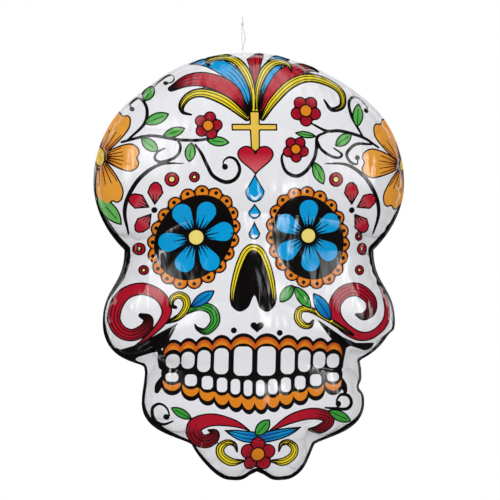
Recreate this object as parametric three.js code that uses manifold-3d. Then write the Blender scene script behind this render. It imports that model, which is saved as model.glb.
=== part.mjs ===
// Inflatable sugar skull for hanging: a front and a back vinyl panel welded round their rim, a clear tab
// with a knotted cord at the crown, and an air valve in the middle of the back.
// Millimetres, +Z up. The face looks along -Y. The origin is where a hook bears in the cord's eye.
import * as THREE from "three";
import Module from "manifold-3d";
import { mergeVertices } from "three/addons/utils/BufferGeometryUtils.js";

const wasm = await Module();
wasm.setup();

// General fits
const FIT_GAP = 0.3; // between two pieces that seat on each other
const ROUND_SIDES = 32; // sides of a turned valve piece

// Cord: its eye, its knot and the loop through the tab
const CORD_DIAMETER = 1.2;
const CORD_SIDES = 8;
const EYE_HEIGHT = 6.4; // from the knot to where the hook bears
const EYE_HALF_WIDTH = 2.2; // centreline, front to back
const KNOT_HEIGHT = 3.6;
const KNOT_RADIUS = 1.9;
const STRAND_SPREAD = 0.8; // each strand's place beside the middle of the knot
const STRAND_BOW = 3.2; // how far the slack strand bows out to the right
const LOOP_DROP = 30; // from the knot down to the tab's hole

// Hanging tab
const TAB_WIDTH = 8;
const TAB_RISE = 5.2; // above the rim of the crown
const TAB_WALL = 0.6;
const TAB_HOLE_RADIUS = 1.35;
const TAB_EDGE = 1.3; // vinyl left above the hole
const SWING_GAP = 0.5; // between the cord and the top of the hole, so that the tab can swing
const TAB_WELD = 2.2; // how far the tab reaches down the rim
const TAB_OFFSET = 8; // the tab sits this far left of the skull's middle

// Panels: film, rim weld and the outline's half-widths and heights, from the crown down
const FILM = 0.4;
const RIM_WELD = 3;
const CRANIUM_HALF = 187;
const CRANIUM_RISE = 156; // crown to the widest line
const CRANIUM_FALL = 81; // widest line to the temple pinch
const TEMPLE_HALF = 150;
const CHEEK_HALF = 176;
const CHEEK_RISE = 87; // temple pinch to the widest line of the cheeks
const CHEEK_FALL = 50; // from there to the jaw pinch
const JAW_PINCH_HALF = 130;
const JAW_HALF = 134;
const JAW_RISE = 46; // jaw pinch to the widest line of the jaw
const JAW_FALL = 50; // from there to the chin pinch
const CHIN_PINCH_HALF = 74;
const CHIN_HALF = 33; // middle of each chin lobe
const CHIN_FALL = 43; // chin pinch to the lowest point
const CHIN_NOTCH = 10; // how far the notch between the lobes goes up

// How far each panel swells out from the rim, along the middle of the face
const CRANIUM_DEPTH = 78;
const TEMPLE_DEPTH = 69;
const CHEEK_DEPTH = 71;
const JAW_DEPTH = 57;
const JAW_CENTRE_DROP = 26; // the jaw swells round a point this far below the jaw pinch

// Mesh steps
const RINGS = 7; // from the middle line out to the rim weld
const CRANIUM_STEPS = 10; // for each half of the cranium's side
const LOBE_STEPS = 5; // for each half of a cheek, jaw or chin lobe

// Air valve
const VALVE_BORE = 3.3; // radius of the air way
const STEM_WALL = 2.2;
const STEM_TRAVEL = 12; // pushed in flush to pulled out
const STEM_LIP = 1.6; // the lip and the stop stand out from the stem by this much
const LIP_HEIGHT = 1.2;
const BASE_RADIUS = 13;
const BASE_WALL = 0.8;
const SLEEVE_WALL = 1.2;
const SLEEVE_DEPTH = 6;
const FLAP_OVERLAP = 1.3; // the check flap covers the air way by this much
const FLAP_WALL = 0.5;
const PLUG_LENGTH = 7;
const CAP_RADIUS = 6.6;
const CAP_HEIGHT = 1.8;
const STRAP_WIDTH = 3;
const STRAP_WALL = 0.9;

// Places worked out from the sizes above
const CORD_RADIUS = CORD_DIAMETER / 2;
const KNOT_TOP = -EYE_HEIGHT;
const KNOT_BOTTOM = KNOT_TOP - KNOT_HEIGHT;
const HOLE_Z = KNOT_BOTTOM - LOOP_DROP;
const CROWN_Z = HOLE_Z + TAB_HOLE_RADIUS + TAB_EDGE - TAB_RISE;
const TEMPLE_Z = -CRANIUM_RISE - CRANIUM_FALL;
const CHEEK_Z = TEMPLE_Z - CHEEK_RISE;
const JAW_PINCH_Z = CHEEK_Z - CHEEK_FALL;
const JAW_Z = JAW_PINCH_Z - JAW_RISE;
const CHIN_PINCH_Z = JAW_Z - JAW_FALL;
const CHIN_Z = CHIN_PINCH_Z - CHIN_FALL;
const UPPER_CENTRE_Z = -CRANIUM_RISE;
const LOWER_CENTRE_Z = JAW_PINCH_Z - JAW_CENTRE_DROP;
const SHEET_Y = FIT_GAP / 2 + FILM; // outer face of each rim weld, front and back
const TAB_Y = SHEET_Y + FIT_GAP + TAB_WALL / 2;
const STEM_RADIUS = VALVE_BORE + STEM_WALL;
const SLEEVE_RADIUS = STEM_RADIUS + FIT_GAP;
const SEAT_Y = SHEET_Y + CRANIUM_DEPTH; // outer face of the back panel at the valve
const BASE_TOP = SEAT_Y + FIT_GAP + BASE_WALL;
const SLEEVE_END = SEAT_Y + FIT_GAP - SLEEVE_DEPTH;
const LIP_FOOT = BASE_TOP + FIT_GAP;
const LIP_TOP = LIP_FOOT + LIP_HEIGHT;
const STOP_TOP = SLEEVE_END - FIT_GAP - STEM_TRAVEL;
const STEM_END = STOP_TOP - LIP_HEIGHT;

const vinylWhite = { color: 0xe9e9ee, roughness: 0.22, metalness: 0 };
const vinylClear = { color: 0xdfe3e6, roughness: 0.15, metalness: 0 };
const valveVinyl = { color: 0xf1f1ee, roughness: 0.35, metalness: 0 };
const cordNylon = { color: 0xe6e6e2, roughness: 0.6, metalness: 0 };

// Solids and cuts

function solidFrom(geometry) {
  const bare = geometry.clone();
  bare.deleteAttribute("normal");
  bare.deleteAttribute("uv");
  const merged = mergeVertices(bare, 1e-4);
  return new wasm.Manifold(
    new wasm.Mesh({
      numProp: 3,
      vertProperties: merged.attributes.position.array,
      triVerts: new Uint32Array(merged.index.array),
    }),
  );
}

function geometryFrom(solid) {
  const mesh = solid.getMesh();
  const geometry = new THREE.BufferGeometry();
  geometry.setAttribute("position", new THREE.BufferAttribute(mesh.vertProperties, 3));
  geometry.setIndex(new THREE.BufferAttribute(mesh.triVerts, 1));
  return geometry;
}

function piece(name, geometry, finish) {
  const mesh = new THREE.Mesh(geometry, new THREE.MeshStandardMaterial(finish));
  mesh.name = name;
  return mesh;
}

// A solid turned about Y, from [radius, place along Y] corners that run anticlockwise round its section
function turned(corners) {
  const points = corners.map(([radius, along]) => new THREE.Vector2(radius, along));
  return new THREE.LatheGeometry([...points, points[0].clone()], ROUND_SIDES);
}

// A plate of even thickness, from its outline
function plateFrom(outline, depth) {
  return new THREE.ExtrudeGeometry(outline, { depth, bevelEnabled: false, curveSegments: 10 });
}

// Outline of the skull

// A side curve between two points, whose ends leave along the given [x, z] pulls
function sideCurve(from, fromPull, to, toPull) {
  return new THREE.CubicBezierCurve(
    new THREE.Vector2(...from),
    new THREE.Vector2(from[0] + fromPull[0], from[1] + fromPull[1]),
    new THREE.Vector2(to[0] + toPull[0], to[1] + toPull[1]),
    new THREE.Vector2(...to),
  );
}

// The right half of the cut edge, from the crown down to the notch of the chin
function halfOutline() {
  const temple = [TEMPLE_HALF, TEMPLE_Z];
  const cheek = [CHEEK_HALF, CHEEK_Z];
  const jawPinch = [JAW_PINCH_HALF, JAW_PINCH_Z];
  const jaw = [JAW_HALF, JAW_Z];
  const chinPinch = [CHIN_PINCH_HALF, CHIN_PINCH_Z];
  const chin = [CHIN_HALF, CHIN_Z];
  const notch = [0, CHIN_Z + CHIN_NOTCH];
  const templeAngle = Math.acos(TEMPLE_HALF / CRANIUM_HALF);
  const lowerRadius = CRANIUM_FALL / Math.sin(templeAngle);
  const upper = new THREE.EllipseCurve(
    0, UPPER_CENTRE_Z, CRANIUM_HALF, CRANIUM_RISE, Math.PI / 2, 0, true);
  const lower = new THREE.EllipseCurve(
    0, UPPER_CENTRE_Z, CRANIUM_HALF, lowerRadius, 0, -templeAngle, true);
  const underCheek = CHEEK_HALF - JAW_PINCH_HALF;
  const underJaw = JAW_HALF - CHIN_PINCH_HALF;
  const besideChin = CHIN_PINCH_HALF - CHIN_HALF;
  const lobes = [
    [upper, CRANIUM_STEPS],
    [lower, CRANIUM_STEPS],
    [sideCurve(temple, [0, -CHEEK_RISE / 2], cheek, [0, CHEEK_RISE / 2]), LOBE_STEPS],
    [sideCurve(cheek, [0, -CHEEK_FALL * 0.6], jawPinch, [underCheek / 2, CHEEK_FALL / 6]), LOBE_STEPS],
    [sideCurve(jawPinch, [0, -JAW_RISE / 2], jaw, [0, JAW_RISE / 3]), LOBE_STEPS],
    [sideCurve(jaw, [0, -JAW_FALL * 0.7], chinPinch, [underJaw / 2, JAW_FALL / 6]), LOBE_STEPS],
    [sideCurve(chinPinch, [-besideChin / 6, -CHIN_FALL / 3], chin, [besideChin / 2, 0]), LOBE_STEPS],
    [sideCurve(chin, [-CHIN_HALF / 2, 0], notch, [CHIN_HALF / 5, -CHIN_NOTCH / 3]), LOBE_STEPS],
  ];
  const points = [new THREE.Vector2(0, 0)];
  for (const [curve, steps] of lobes) points.push(...curve.getPoints(steps).slice(1));
  points.at(-1).x = 0;
  return points;
}

// Moves each point of the half outline inwards, square to the edge; the two end points stay on the middle
function insetHalf(points, distance) {
  return points.map((point, i) => {
    const before = points[i - 1] ?? new THREE.Vector2(-points[1].x, points[1].y);
    const after = points[i + 1] ?? new THREE.Vector2(-points[i - 1].x, points[i - 1].y);
    const along = after.clone().sub(before).normalize();
    return new THREE.Vector2(point.x + along.y * distance, point.y - along.x * distance);
  });
}

// How far a panel swells at a height on the middle line
function swell(z) {
  const stations = [
    [UPPER_CENTRE_Z, CRANIUM_DEPTH],
    [TEMPLE_Z, TEMPLE_DEPTH],
    [CHEEK_Z, CHEEK_DEPTH],
    [LOWER_CENTRE_Z, JAW_DEPTH],
  ];
  const next = Math.max(1, stations.findIndex(([at]) => at <= z));
  const [[z0, d0], [z1, d1]] = [stations[next - 1], stations[next]];
  return THREE.MathUtils.lerp(d0, d1, THREE.MathUtils.smoothstep(z0 - z, 0, z0 - z1));
}

// One welded panel: an outer and an inner skin, a film apart, that share the flat rim.
// side is -1 for the front panel and 1 for the back panel.
function panelGeometry(side) {
  const edge = halfOutline();
  const weld = insetHalf(edge, RIM_WELD);
  const last = edge.length - 1;
  const around = 2 * last; // points round the whole rim: down the right, then up the left
  const halfIndex = (i) => (i <= last ? i : around - i);
  const mirror = (i) => (i <= last ? 1 : -1);
  const centreOf = edge.map(({ y }) => THREE.MathUtils.clamp(y, LOWER_CENTRE_Z, UPPER_CENTRE_Z));
  const levels = [...new Set(centreOf)];
  const outer = levels.map((z) => new THREE.Vector3(0, side * (SHEET_Y + swell(z)), z));
  for (let ring = 1; ring <= RINGS + 1; ring++) {
    const angle = (Math.min(ring, RINGS) / RINGS) * (Math.PI / 2);
    for (let i = 0; i < around; i++) {
      const h = halfIndex(i);
      const rim = ring > RINGS ? edge[h] : weld[h];
      const share = ring > RINGS ? 1 : Math.sin(angle);
      const rise = ring >= RINGS ? 0 : swell(centreOf[h]) * Math.cos(angle);
      const z = THREE.MathUtils.lerp(centreOf[h], rim.y, share);
      outer.push(new THREE.Vector3(mirror(i) * rim.x * share, side * (SHEET_Y + rise), z));
    }
  }
  const onMiddle = (i) => levels.indexOf(centreOf[halfIndex(i)]);
  const at = (ring, i) => (ring ? levels.length + (ring - 1) * around + (i % around) : onMiddle(i));
  const skin = [];
  const face = (a, b, c) => {
    if (a !== b && b !== c && c !== a) skin.push(side < 0 ? [a, b, c] : [a, c, b]);
  };
  for (let ring = 0; ring <= RINGS; ring++) {
    for (let i = 0; i < around; i++) {
      const next = (i + 1) % around;
      face(at(ring, i), at(ring, next), at(ring + 1, i));
      face(at(ring, next), at(ring + 1, next), at(ring + 1, i));
    }
  }
  const open = new THREE.BufferGeometry().setFromPoints(outer);
  open.setIndex(skin.flat());
  open.computeVertexNormals();
  const normals = open.getAttribute("normal");
  const flatFrom = at(RINGS, 0);
  const inner = outer.map((point, i) => {
    const out = new THREE.Vector3().fromBufferAttribute(normals, i);
    return point.clone().addScaledVector(i >= flatFrom ? new THREE.Vector3(0, side, 0) : out, -FILM);
  });
  const below = (i) => i + outer.length;
  const faces = [...skin, ...skin.map(([a, b, c]) => [below(a), below(c), below(b)])];
  for (let i = 0; i < around; i++) {
    const a = at(RINGS + 1, i);
    const b = at(RINGS + 1, i + 1);
    faces.push(side < 0 ? [a, b, below(b)] : [a, below(b), b]);
    faces.push(side < 0 ? [a, below(b), below(a)] : [a, below(a), below(b)]);
  }
  const closed = new THREE.BufferGeometry().setFromPoints([...outer, ...inner]);
  closed.setIndex(faces.flat());
  return closed;
}

function makePanels() {
  const front = piece("front_panel", panelGeometry(-1), vinylWhite);
  const valveWay = turned([
    [0, 0],
    [SLEEVE_RADIUS + SLEEVE_WALL + FIT_GAP, 0],
    [SLEEVE_RADIUS + SLEEVE_WALL + FIT_GAP, 2 * SEAT_Y],
    [0, 2 * SEAT_Y],
  ]).rotateY(Math.PI / ROUND_SIDES).translate(0, 0, UPPER_CENTRE_Z);
  const cut = solidFrom(panelGeometry(1)).subtract(solidFrom(valveWay));
  return [front, piece("back_panel", geometryFrom(cut), vinylWhite)];
}

// Hanging tab: a round-topped plate on the back of the rim weld, with a punched hole
function makeTab() {
  const half = TAB_WIDTH / 2;
  const top = CROWN_Z + TAB_RISE;
  const foot = CROWN_Z - TAB_WELD;
  const outline = new THREE.Shape();
  outline.moveTo(-half, foot);
  outline.lineTo(half, foot);
  outline.lineTo(half, top - half);
  outline.absarc(0, top - half, half, 0, Math.PI);
  outline.closePath();
  const hole = new THREE.Path();
  hole.absarc(0, HOLE_Z, TAB_HOLE_RADIUS, 0, 2 * Math.PI);
  outline.holes.push(hole);
  const plate = plateFrom(outline, TAB_WALL).rotateX(Math.PI / 2).translate(0, TAB_Y + TAB_WALL / 2, 0);
  return piece("hanging_tab", plate, vinylClear);
}

// Cord

// A round cord along a smooth line through the given points
function cordAlong(points, steps) {
  const section = new THREE.Shape();
  section.absarc(0, 0, CORD_RADIUS, 0, 2 * Math.PI);
  const line = new THREE.CatmullRomCurve3(points.map((p) => new THREE.Vector3(...p)), false, "centripetal");
  return new THREE.ExtrudeGeometry(section, {
    steps,
    curveSegments: CORD_SIDES / 2,
    bevelEnabled: false,
    extrudePath: line,
  });
}

function makeCord() {
  const top = KNOT_TOP + FIT_GAP;
  const eye = cordAlong([
    [0, -STRAND_SPREAD, top],
    [0, -STRAND_SPREAD, top + CORD_DIAMETER],
    [0, -EYE_HALF_WIDTH, -EYE_HALF_WIDTH],
    [0, 0, CORD_RADIUS],
    [0, EYE_HALF_WIDTH, -EYE_HALF_WIDTH],
    [0, STRAND_SPREAD, top + CORD_DIAMETER],
    [0, STRAND_SPREAD, top],
  ], 24);
  const knot = turned([
    [0, KNOT_BOTTOM],
    [KNOT_RADIUS * 0.6, KNOT_BOTTOM],
    [KNOT_RADIUS, KNOT_BOTTOM + KNOT_HEIGHT * 0.3],
    [KNOT_RADIUS, KNOT_BOTTOM + KNOT_HEIGHT * 0.7],
    [KNOT_RADIUS * 0.6, KNOT_TOP],
    [0, KNOT_TOP],
  ]).rotateX(Math.PI / 2);
  const under = KNOT_BOTTOM - FIT_GAP;
  const bight = HOLE_Z + TAB_HOLE_RADIUS - CORD_RADIUS - SWING_GAP; // the cord's middle in the hole
  const turn = 2 * CORD_DIAMETER; // radius of the bend through the hole
  const middle = (under + bight) / 2;
  const loop = cordAlong([
    [-STRAND_SPREAD, 0, under],
    [-STRAND_SPREAD, 0, under - 2 * CORD_DIAMETER],
    [-STRAND_SPREAD, (TAB_Y - turn) / 2, middle],
    [-STRAND_SPREAD / 2, TAB_Y - turn, bight + 2 * turn],
    [0, TAB_Y - turn, bight + turn],
    [0, TAB_Y - turn * Math.SQRT1_2, bight + turn * (1 - Math.SQRT1_2)],
    [0, TAB_Y, bight],
    [0, TAB_Y + turn * Math.SQRT1_2, bight + turn * (1 - Math.SQRT1_2)],
    [0, TAB_Y + turn, bight + turn],
    [STRAND_BOW / 2, TAB_Y + turn, bight + 2 * turn],
    [STRAND_BOW, (TAB_Y + turn) / 2, middle],
    [STRAND_SPREAD, 0, under - 2 * CORD_DIAMETER],
    [STRAND_SPREAD, 0, under],
  ], 56);
  return [
    piece("cord_eye", eye, cordNylon),
    piece("cord_knot", knot, cordNylon),
    piece("cord_loop", loop, cordNylon),
  ];
}

// Air valve, turned about Y at the middle of the back of the cranium

function makeValve() {
  const lipRadius = STEM_RADIUS + STEM_LIP;
  const base = turned([
    [SLEEVE_RADIUS, SLEEVE_END],
    [SLEEVE_RADIUS + SLEEVE_WALL, SLEEVE_END],
    [SLEEVE_RADIUS + SLEEVE_WALL, SEAT_Y + FIT_GAP],
    [BASE_RADIUS, SEAT_Y + FIT_GAP],
    [BASE_RADIUS - BASE_WALL / 2, BASE_TOP],
    [SLEEVE_RADIUS, BASE_TOP],
  ]);
  const stem = turned([
    [VALVE_BORE, STEM_END],
    [lipRadius, STEM_END],
    [lipRadius, STOP_TOP],
    [STEM_RADIUS, STOP_TOP],
    [STEM_RADIUS, LIP_FOOT],
    [lipRadius, LIP_FOOT],
    [lipRadius, LIP_TOP],
    [VALVE_BORE, LIP_TOP],
  ]);
  const flapTop = STEM_END - FIT_GAP;
  const flap = turned([
    [0, flapTop - FLAP_WALL],
    [VALVE_BORE + FLAP_OVERLAP, flapTop - FLAP_WALL],
    [VALVE_BORE + FLAP_OVERLAP, flapTop],
    [0, flapTop],
  ]);
  const capFoot = LIP_TOP + FIT_GAP;
  const plugRadius = VALVE_BORE - FIT_GAP;
  const cap = turned([
    [0, capFoot - PLUG_LENGTH],
    [plugRadius * 0.8, capFoot - PLUG_LENGTH],
    [plugRadius, capFoot - PLUG_LENGTH * 0.85],
    [plugRadius, capFoot],
    [CAP_RADIUS, capFoot],
    [CAP_RADIUS, capFoot + CAP_HEIGHT * 0.6],
    [CAP_RADIUS * 0.9, capFoot + CAP_HEIGHT],
    [CAP_RADIUS * 0.5, capFoot + CAP_HEIGHT],
    [CAP_RADIUS * 0.4, capFoot + CAP_HEIGHT * 0.6],
    [0, capFoot + CAP_HEIGHT * 0.6],
  ]);
  const strapLow = LIP_FOOT + LIP_HEIGHT / 2;
  const strapHigh = capFoot + CAP_HEIGHT * 0.3;
  const strapStart = Math.max(lipRadius, CAP_RADIUS) + FIT_GAP;
  const bendRadius = (strapHigh - strapLow) / 2;
  const bendX = strapStart + bendRadius;
  const bendY = (strapHigh + strapLow) / 2;
  const strapShape = new THREE.Shape();
  strapShape.moveTo(strapStart, strapLow - STRAP_WALL / 2);
  strapShape.absarc(bendX, bendY, bendRadius + STRAP_WALL / 2, -Math.PI / 2, Math.PI / 2);
  strapShape.lineTo(strapStart, strapHigh + STRAP_WALL / 2);
  strapShape.lineTo(strapStart, strapHigh - STRAP_WALL / 2);
  strapShape.absarc(bendX, bendY, bendRadius - STRAP_WALL / 2, Math.PI / 2, -Math.PI / 2, true);
  strapShape.lineTo(strapStart, strapLow + STRAP_WALL / 2);
  strapShape.closePath();
  const strap = plateFrom(strapShape, STRAP_WIDTH).translate(0, 0, -STRAP_WIDTH / 2);
  return [
    piece("valve_base", base, valveVinyl),
    piece("valve_stem", stem, valveVinyl),
    piece("valve_flap", flap, vinylClear),
    piece("valve_cap", cap, valveVinyl),
    piece("cap_strap", strap, valveVinyl),
  ];
}

// The whole object

const skull = new THREE.Group();
skull.add(...makePanels());
skull.position.set(TAB_OFFSET, 0, CROWN_Z);

const valve = new THREE.Group();
valve.add(...makeValve());
valve.position.set(0, 0, UPPER_CENTRE_Z);
skull.add(valve);

const sugarSkull = new THREE.Group();
sugarSkull.add(skull, makeTab(), ...makeCord());

export default sugarSkull;
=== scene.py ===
"""Inflatable sugar skull for hanging: two printed vinyl panels, an air valve, a clear tab and a cord."""

import math

import bpy
import numpy as np
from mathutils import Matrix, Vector


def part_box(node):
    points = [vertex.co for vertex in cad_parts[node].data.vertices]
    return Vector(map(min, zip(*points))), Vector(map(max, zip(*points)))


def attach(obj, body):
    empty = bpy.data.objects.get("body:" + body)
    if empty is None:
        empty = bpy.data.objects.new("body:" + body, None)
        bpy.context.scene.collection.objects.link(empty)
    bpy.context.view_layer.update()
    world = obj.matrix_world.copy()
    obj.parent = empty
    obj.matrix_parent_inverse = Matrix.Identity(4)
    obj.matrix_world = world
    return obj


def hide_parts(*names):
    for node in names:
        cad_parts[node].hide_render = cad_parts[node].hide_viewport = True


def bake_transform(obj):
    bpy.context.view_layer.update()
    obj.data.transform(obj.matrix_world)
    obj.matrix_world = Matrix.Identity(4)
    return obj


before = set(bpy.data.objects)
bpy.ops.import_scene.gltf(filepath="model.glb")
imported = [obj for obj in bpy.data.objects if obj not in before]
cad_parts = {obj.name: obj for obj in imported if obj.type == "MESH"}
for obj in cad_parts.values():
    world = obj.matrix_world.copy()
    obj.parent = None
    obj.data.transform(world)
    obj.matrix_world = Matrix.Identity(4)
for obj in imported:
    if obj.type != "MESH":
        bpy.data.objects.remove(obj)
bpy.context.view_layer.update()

bl_info = {
    "name": "Inflatable Sugar Skull",
    "version": (1, 0, 0),
    "blender": (4, 5, 0),
    "location": "View3D > Sidebar > Sugar Skull",
    "description": "Builds a hanging inflatable sugar skull from its panels, valve, tab and cord",
    "category": "Add Mesh",
}

MM = 0.001

# Where the skull hangs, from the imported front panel
FRONT_LOW, FRONT_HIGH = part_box("front_panel")
SKULL_X = (FRONT_LOW[0] + FRONT_HIGH[0]) / 2 / MM
CROWN_Z = FRONT_HIGH[2] / MM

# Outline of the skull in mm: half-widths and heights from the crown down
CRANIUM_HALF = 187
CRANIUM_RISE = 156
CRANIUM_FALL = 81
TEMPLE_HALF = 150
CHEEK_HALF = 176
CHEEK_RISE = 87
CHEEK_FALL = 50
JAW_PINCH_HALF = 130
JAW_HALF = 134
JAW_RISE = 46
JAW_FALL = 50
CHIN_PINCH_HALF = 74
CHIN_HALF = 33
CHIN_FALL = 43
CHIN_DIP = 3  # the chin's lowest line sinks this much to the middle before the notch lifts it
CHIN_NOTCH = 13
NOTCH_HALF = 14
JAW_DROP = 26  # from the pinch over the jaw to where the jaw is deepest
SHOULDER_DIP = 0.045  # share of the width by which the crown's shoulders are flatter than an oval
SHOULDER_Z = -38
SHOULDER_REACH = 22
SHEET_Y = 0.55  # outer face of each rim weld, from the joint between the two panels
STRAP_WALL = 0.9  # thickness of the strap that keeps the valve's cap
STRAP_EASE = 0.15  # bevel of that strap's edges

TEMPLE_Z = -CRANIUM_RISE - CRANIUM_FALL
CHEEK_Z = TEMPLE_Z - CHEEK_RISE
JAW_PINCH_Z = CHEEK_Z - CHEEK_FALL
JAW_Z = JAW_PINCH_Z - JAW_RISE
CHIN_PINCH_Z = JAW_Z - JAW_FALL
CHIN_Z = CHIN_PINCH_Z - CHIN_FALL
JAW_CENTRE_Z = JAW_PINCH_Z - JAW_DROP

# Meshes of the panels: rows from the crown to the chin, columns from the middle to the weld
FRONT_ROWS, FRONT_COLUMNS = 440, 148
BACK_ROWS, BACK_COLUMNS = 190, 60
WELD_COLUMNS = 2
CROWDING = 1.2  # how much the columns crowd together towards the rim

# Print: one unit is 1.2 mm; points are (across from the middle, down from the crown)
UNIT = 1.2
FAR = 10.0  # gaps from a shape are kept up to this
EDGE = 0.5  # level that is stored at a shape's edge, which falls to 0 at a gap of FAR
EDGE_BLUR = 0.006  # change of level, either way, over which an edge goes from bare to inked
OUTLINE = 1.45  # width of the black outline, inside a shape's edge
RULE_HALF = 0.42  # half-width of a ruled line
RULE_BLUR = 0.12
RULE_FADE = 0.15  # share of a stroke over which its ruled lines thin out
THINNED = 8  # how much thinner ruled lines are on a plain stretch
THINNEST = 0.2  # least half-width of a stroke
WIPED = 0.5  # ruled lines are wiped this far round a new shape
MIDRIB = 0.3  # how far past its middle a leaf's midrib goes, as a share of its length
RIM_BLUR = 0.7  # distance, either way, over which a rim fades into its oval

# Printed layers, from the film up; the last one has no outlines
LAYERS = 6
BASE, LOW, MIDDLE, HIGH, TOP, BARE = range(LAYERS)

# Black border along the rim, as (down, width); a width below 0 is no border
BORDER = (
    (80, -1), (110, 0.7), (150, 0.9), (168, 4.8), (195, 6), (228, 5), (245, 2.4), (262, 2), (285, 3.8),
    (300, 2.6), (350, 3), (372, 5.4), (385, 3), (400, 3), (427, 4.4))

# Cord, in mm
STRANDS = 3
CORD_LAY = 7.0  # length of one turn of the strands
CORD_GROOVE = 0.2  # depth between the strands, as a share of the radius
CORD_SIDES = 18
CORD_STEP = 0.22  # from one ring of the mesh to the next
LOOP_BEND = 2.4  # radius of the loop's bend in the hole of the tab
LOOP_BEND_Y = 1.15
LOOP_BEND_Z = -37.35
KNOT_RADIUS = 1.35
KNOT_TOP = -6.9
KNOT_PITCH = 1.168  # fall of one turn of the knot
KNOT_TURNS = 3  # of which the last is level
KNOT_POINTS = 8  # points in one turn

# Stage, in metres and watts
CAMERA_TARGET = Vector((0.009, 0, -0.2796))
CAMERA_TURN = math.radians(-5)  # from straight in front of the face
CAMERA_DISTANCE = 6
CAMERA_LENS = 360
FLOOR_SIZE = 2.4
FLOOR_Z = -0.75
ROOM_LIGHT = 0.31  # strength of the white room, where it isn't seen
LAMPS = (  # name, place, width, height and power
    ("Left softbox", (-1.5, -1.9, 0.7), 1.7, 1.7, 20),
    ("Right softbox", (1.7, -1.6, 0.2), 1.3, 1.3, 8),
    ("Top softbox", (0.1, -0.4, 1.6), 2.0, 2.0, 14),
    ("Low softbox", (0.5, -1.95, -0.42), 0.4, 0.6, 3),
    ("Left strip", (-2.0, -1.2, 0.3), 0.2, 1.2, 6),
    ("Right strip", (2.0, -1.2, 0.2), 0.2, 1.2, 4),
    ("Back softbox", (0.7, 2.2, 0.6), 1.3, 1.3, 20),
)
UPRIGHT = math.pi / 2
FLAG_SIZE = 4.5
FLAGS = (  # name, place and turn
    ("front_flag", (0, -2.6, -0.25), (UPRIGHT, 0, 0)),
    ("left_flag", (-2.3, -0.4, -0.25), (UPRIGHT, 0, UPRIGHT)),
    ("right_flag", (2.3, -0.4, -0.25), (UPRIGHT, 0, UPRIGHT)),
    ("top_flag", (0, -0.4, 2), (0, 0, 0)),
    ("floor_flag", (0, -1.5, FLOOR_Z + 0.01), (0, 0, 0)),
)


def to_linear(hex_colour):
    """Gives an sRGB hex colour as linear red, green and blue."""
    parts = [int(hex_colour[i:i + 2], 16) / 255 for i in (1, 3, 5)]
    return tuple(p / 12.92 if p <= 0.04045 else ((p + 0.055) / 1.055) ** 2.4 for p in parts)


def length_property(name, description, default):
    """Makes a length property with a default in millimetres."""
    return bpy.props.FloatProperty(
        name=name, description=description, default=default * MM, unit="LENGTH", subtype="DISTANCE")


def colour_property(name, description, default):
    """Makes a colour property with an sRGB hex default."""
    return bpy.props.FloatVectorProperty(
        name=name, description=description, default=to_linear(default), subtype="COLOR", size=3,
        min=0, max=1)


class SkullSizes(bpy.types.PropertyGroup):
    """Sizes of the soft pieces that a user may change."""

    film: length_property("Film", "Thickness of the vinyl film", 0.4)
    rim_weld: length_property("Rim weld", "Width of the flat weld round the rim", 3)
    cranium_depth: length_property("Cranium depth", "How far each panel swells at the cranium", 78)
    temple_depth: length_property("Temple depth", "How far each panel swells at the temples", 69)
    cheek_depth: length_property("Cheek depth", "How far each panel swells at the cheeks", 71)
    jaw_depth: length_property("Jaw depth", "How far each panel swells at the jaw", 57)
    valve_hole: length_property("Valve hole", "Radius of the hole in the back panel", 7.3)
    cord_diameter: length_property("Cord diameter", "Thickness of the twisted cord", 1.2)
    gather_count: bpy.props.IntProperty(
        name="Gathers", description="Small gathers in the film along the rim", default=70, min=0)
    crease_share: bpy.props.FloatProperty(
        name="Crease depth", description="Share of the full crease depth", default=1, subtype="FACTOR",
        min=0, max=2)


class SkullInks(bpy.types.PropertyGroup):
    """Colours of the film, the inks and the cord."""

    film: colour_property("Film", "White vinyl", "#E8E8EC")
    black: colour_property("Black", "Outlines, sockets and vines", "#0B0707")
    red: colour_property("Red", "Feathers, scrolls and flowers", "#B4122B")
    dark_red: colour_property("Dark red", "Shaded ends of the red shapes", "#6E0B18")
    # Pale red is a painted highlight: it lightens the ends of the heart and the gems as light on the gloss
    # would
    painted_highlight_red: colour_property("Pale red", "Light ends of the red shapes", "#DB6A72")
    blue: colour_property("Blue", "Feathers, drops and eye petals", "#009CDA")
    dark_blue: colour_property("Dark blue", "Shaded ends of the blue shapes", "#0A4FA0")
    orange: colour_property("Orange", "Eye rings and gums", "#E0831C")
    dark_orange: colour_property("Dark orange", "Shaded parts of the orange shapes", "#C85A14")
    pale_orange: colour_property("Pale orange", "Marigold petals", "#EBA03A")
    yellow: colour_property("Yellow", "Feather curls and nose band", "#EAD424")
    gold: colour_property("Gold", "Cross and flower centres", "#E6C04E")
    cream: colour_property("Cream", "Centres of the eye flowers", "#F0DC78")
    green: colour_property("Green", "Leaves and scroll", "#3CA03C")
    pale_green: colour_property("Pale green", "Light ends of the leaves", "#68B85A")
    cord: colour_property("Cord", "Twisted nylon", "#F4F2EE")


# Curves and outlines


def smoothstep(value, start, end):
    """Goes smoothly from 0 at start to 1 at end."""
    t = np.clip((value - start) / (end - start), 0, 1)
    return t * t * (3 - 2 * t)


def bell(value, centre, reach):
    """A bell curve: 1 at its centre and about a third at its reach."""
    return np.exp(-(((value - centre) / reach) ** 2))


def pointing(angle):
    """The step of one unit at an angle from straight across, turned downwards on the print."""
    return np.array((math.cos(angle), math.sin(angle)))


def bezier(start, start_pull, end, end_pull, steps=120):
    """Points of a cubic curve whose ends leave along the given pulls, without its first point."""
    a, d = np.array(start, float), np.array(end, float)
    b, c = a + start_pull, d + end_pull
    t = np.linspace(0, 1, steps + 1)[1:, None]
    return (1 - t) ** 3 * a + 3 * (1 - t) ** 2 * t * b + 3 * (1 - t) * t**2 * c + t**3 * d


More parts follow.
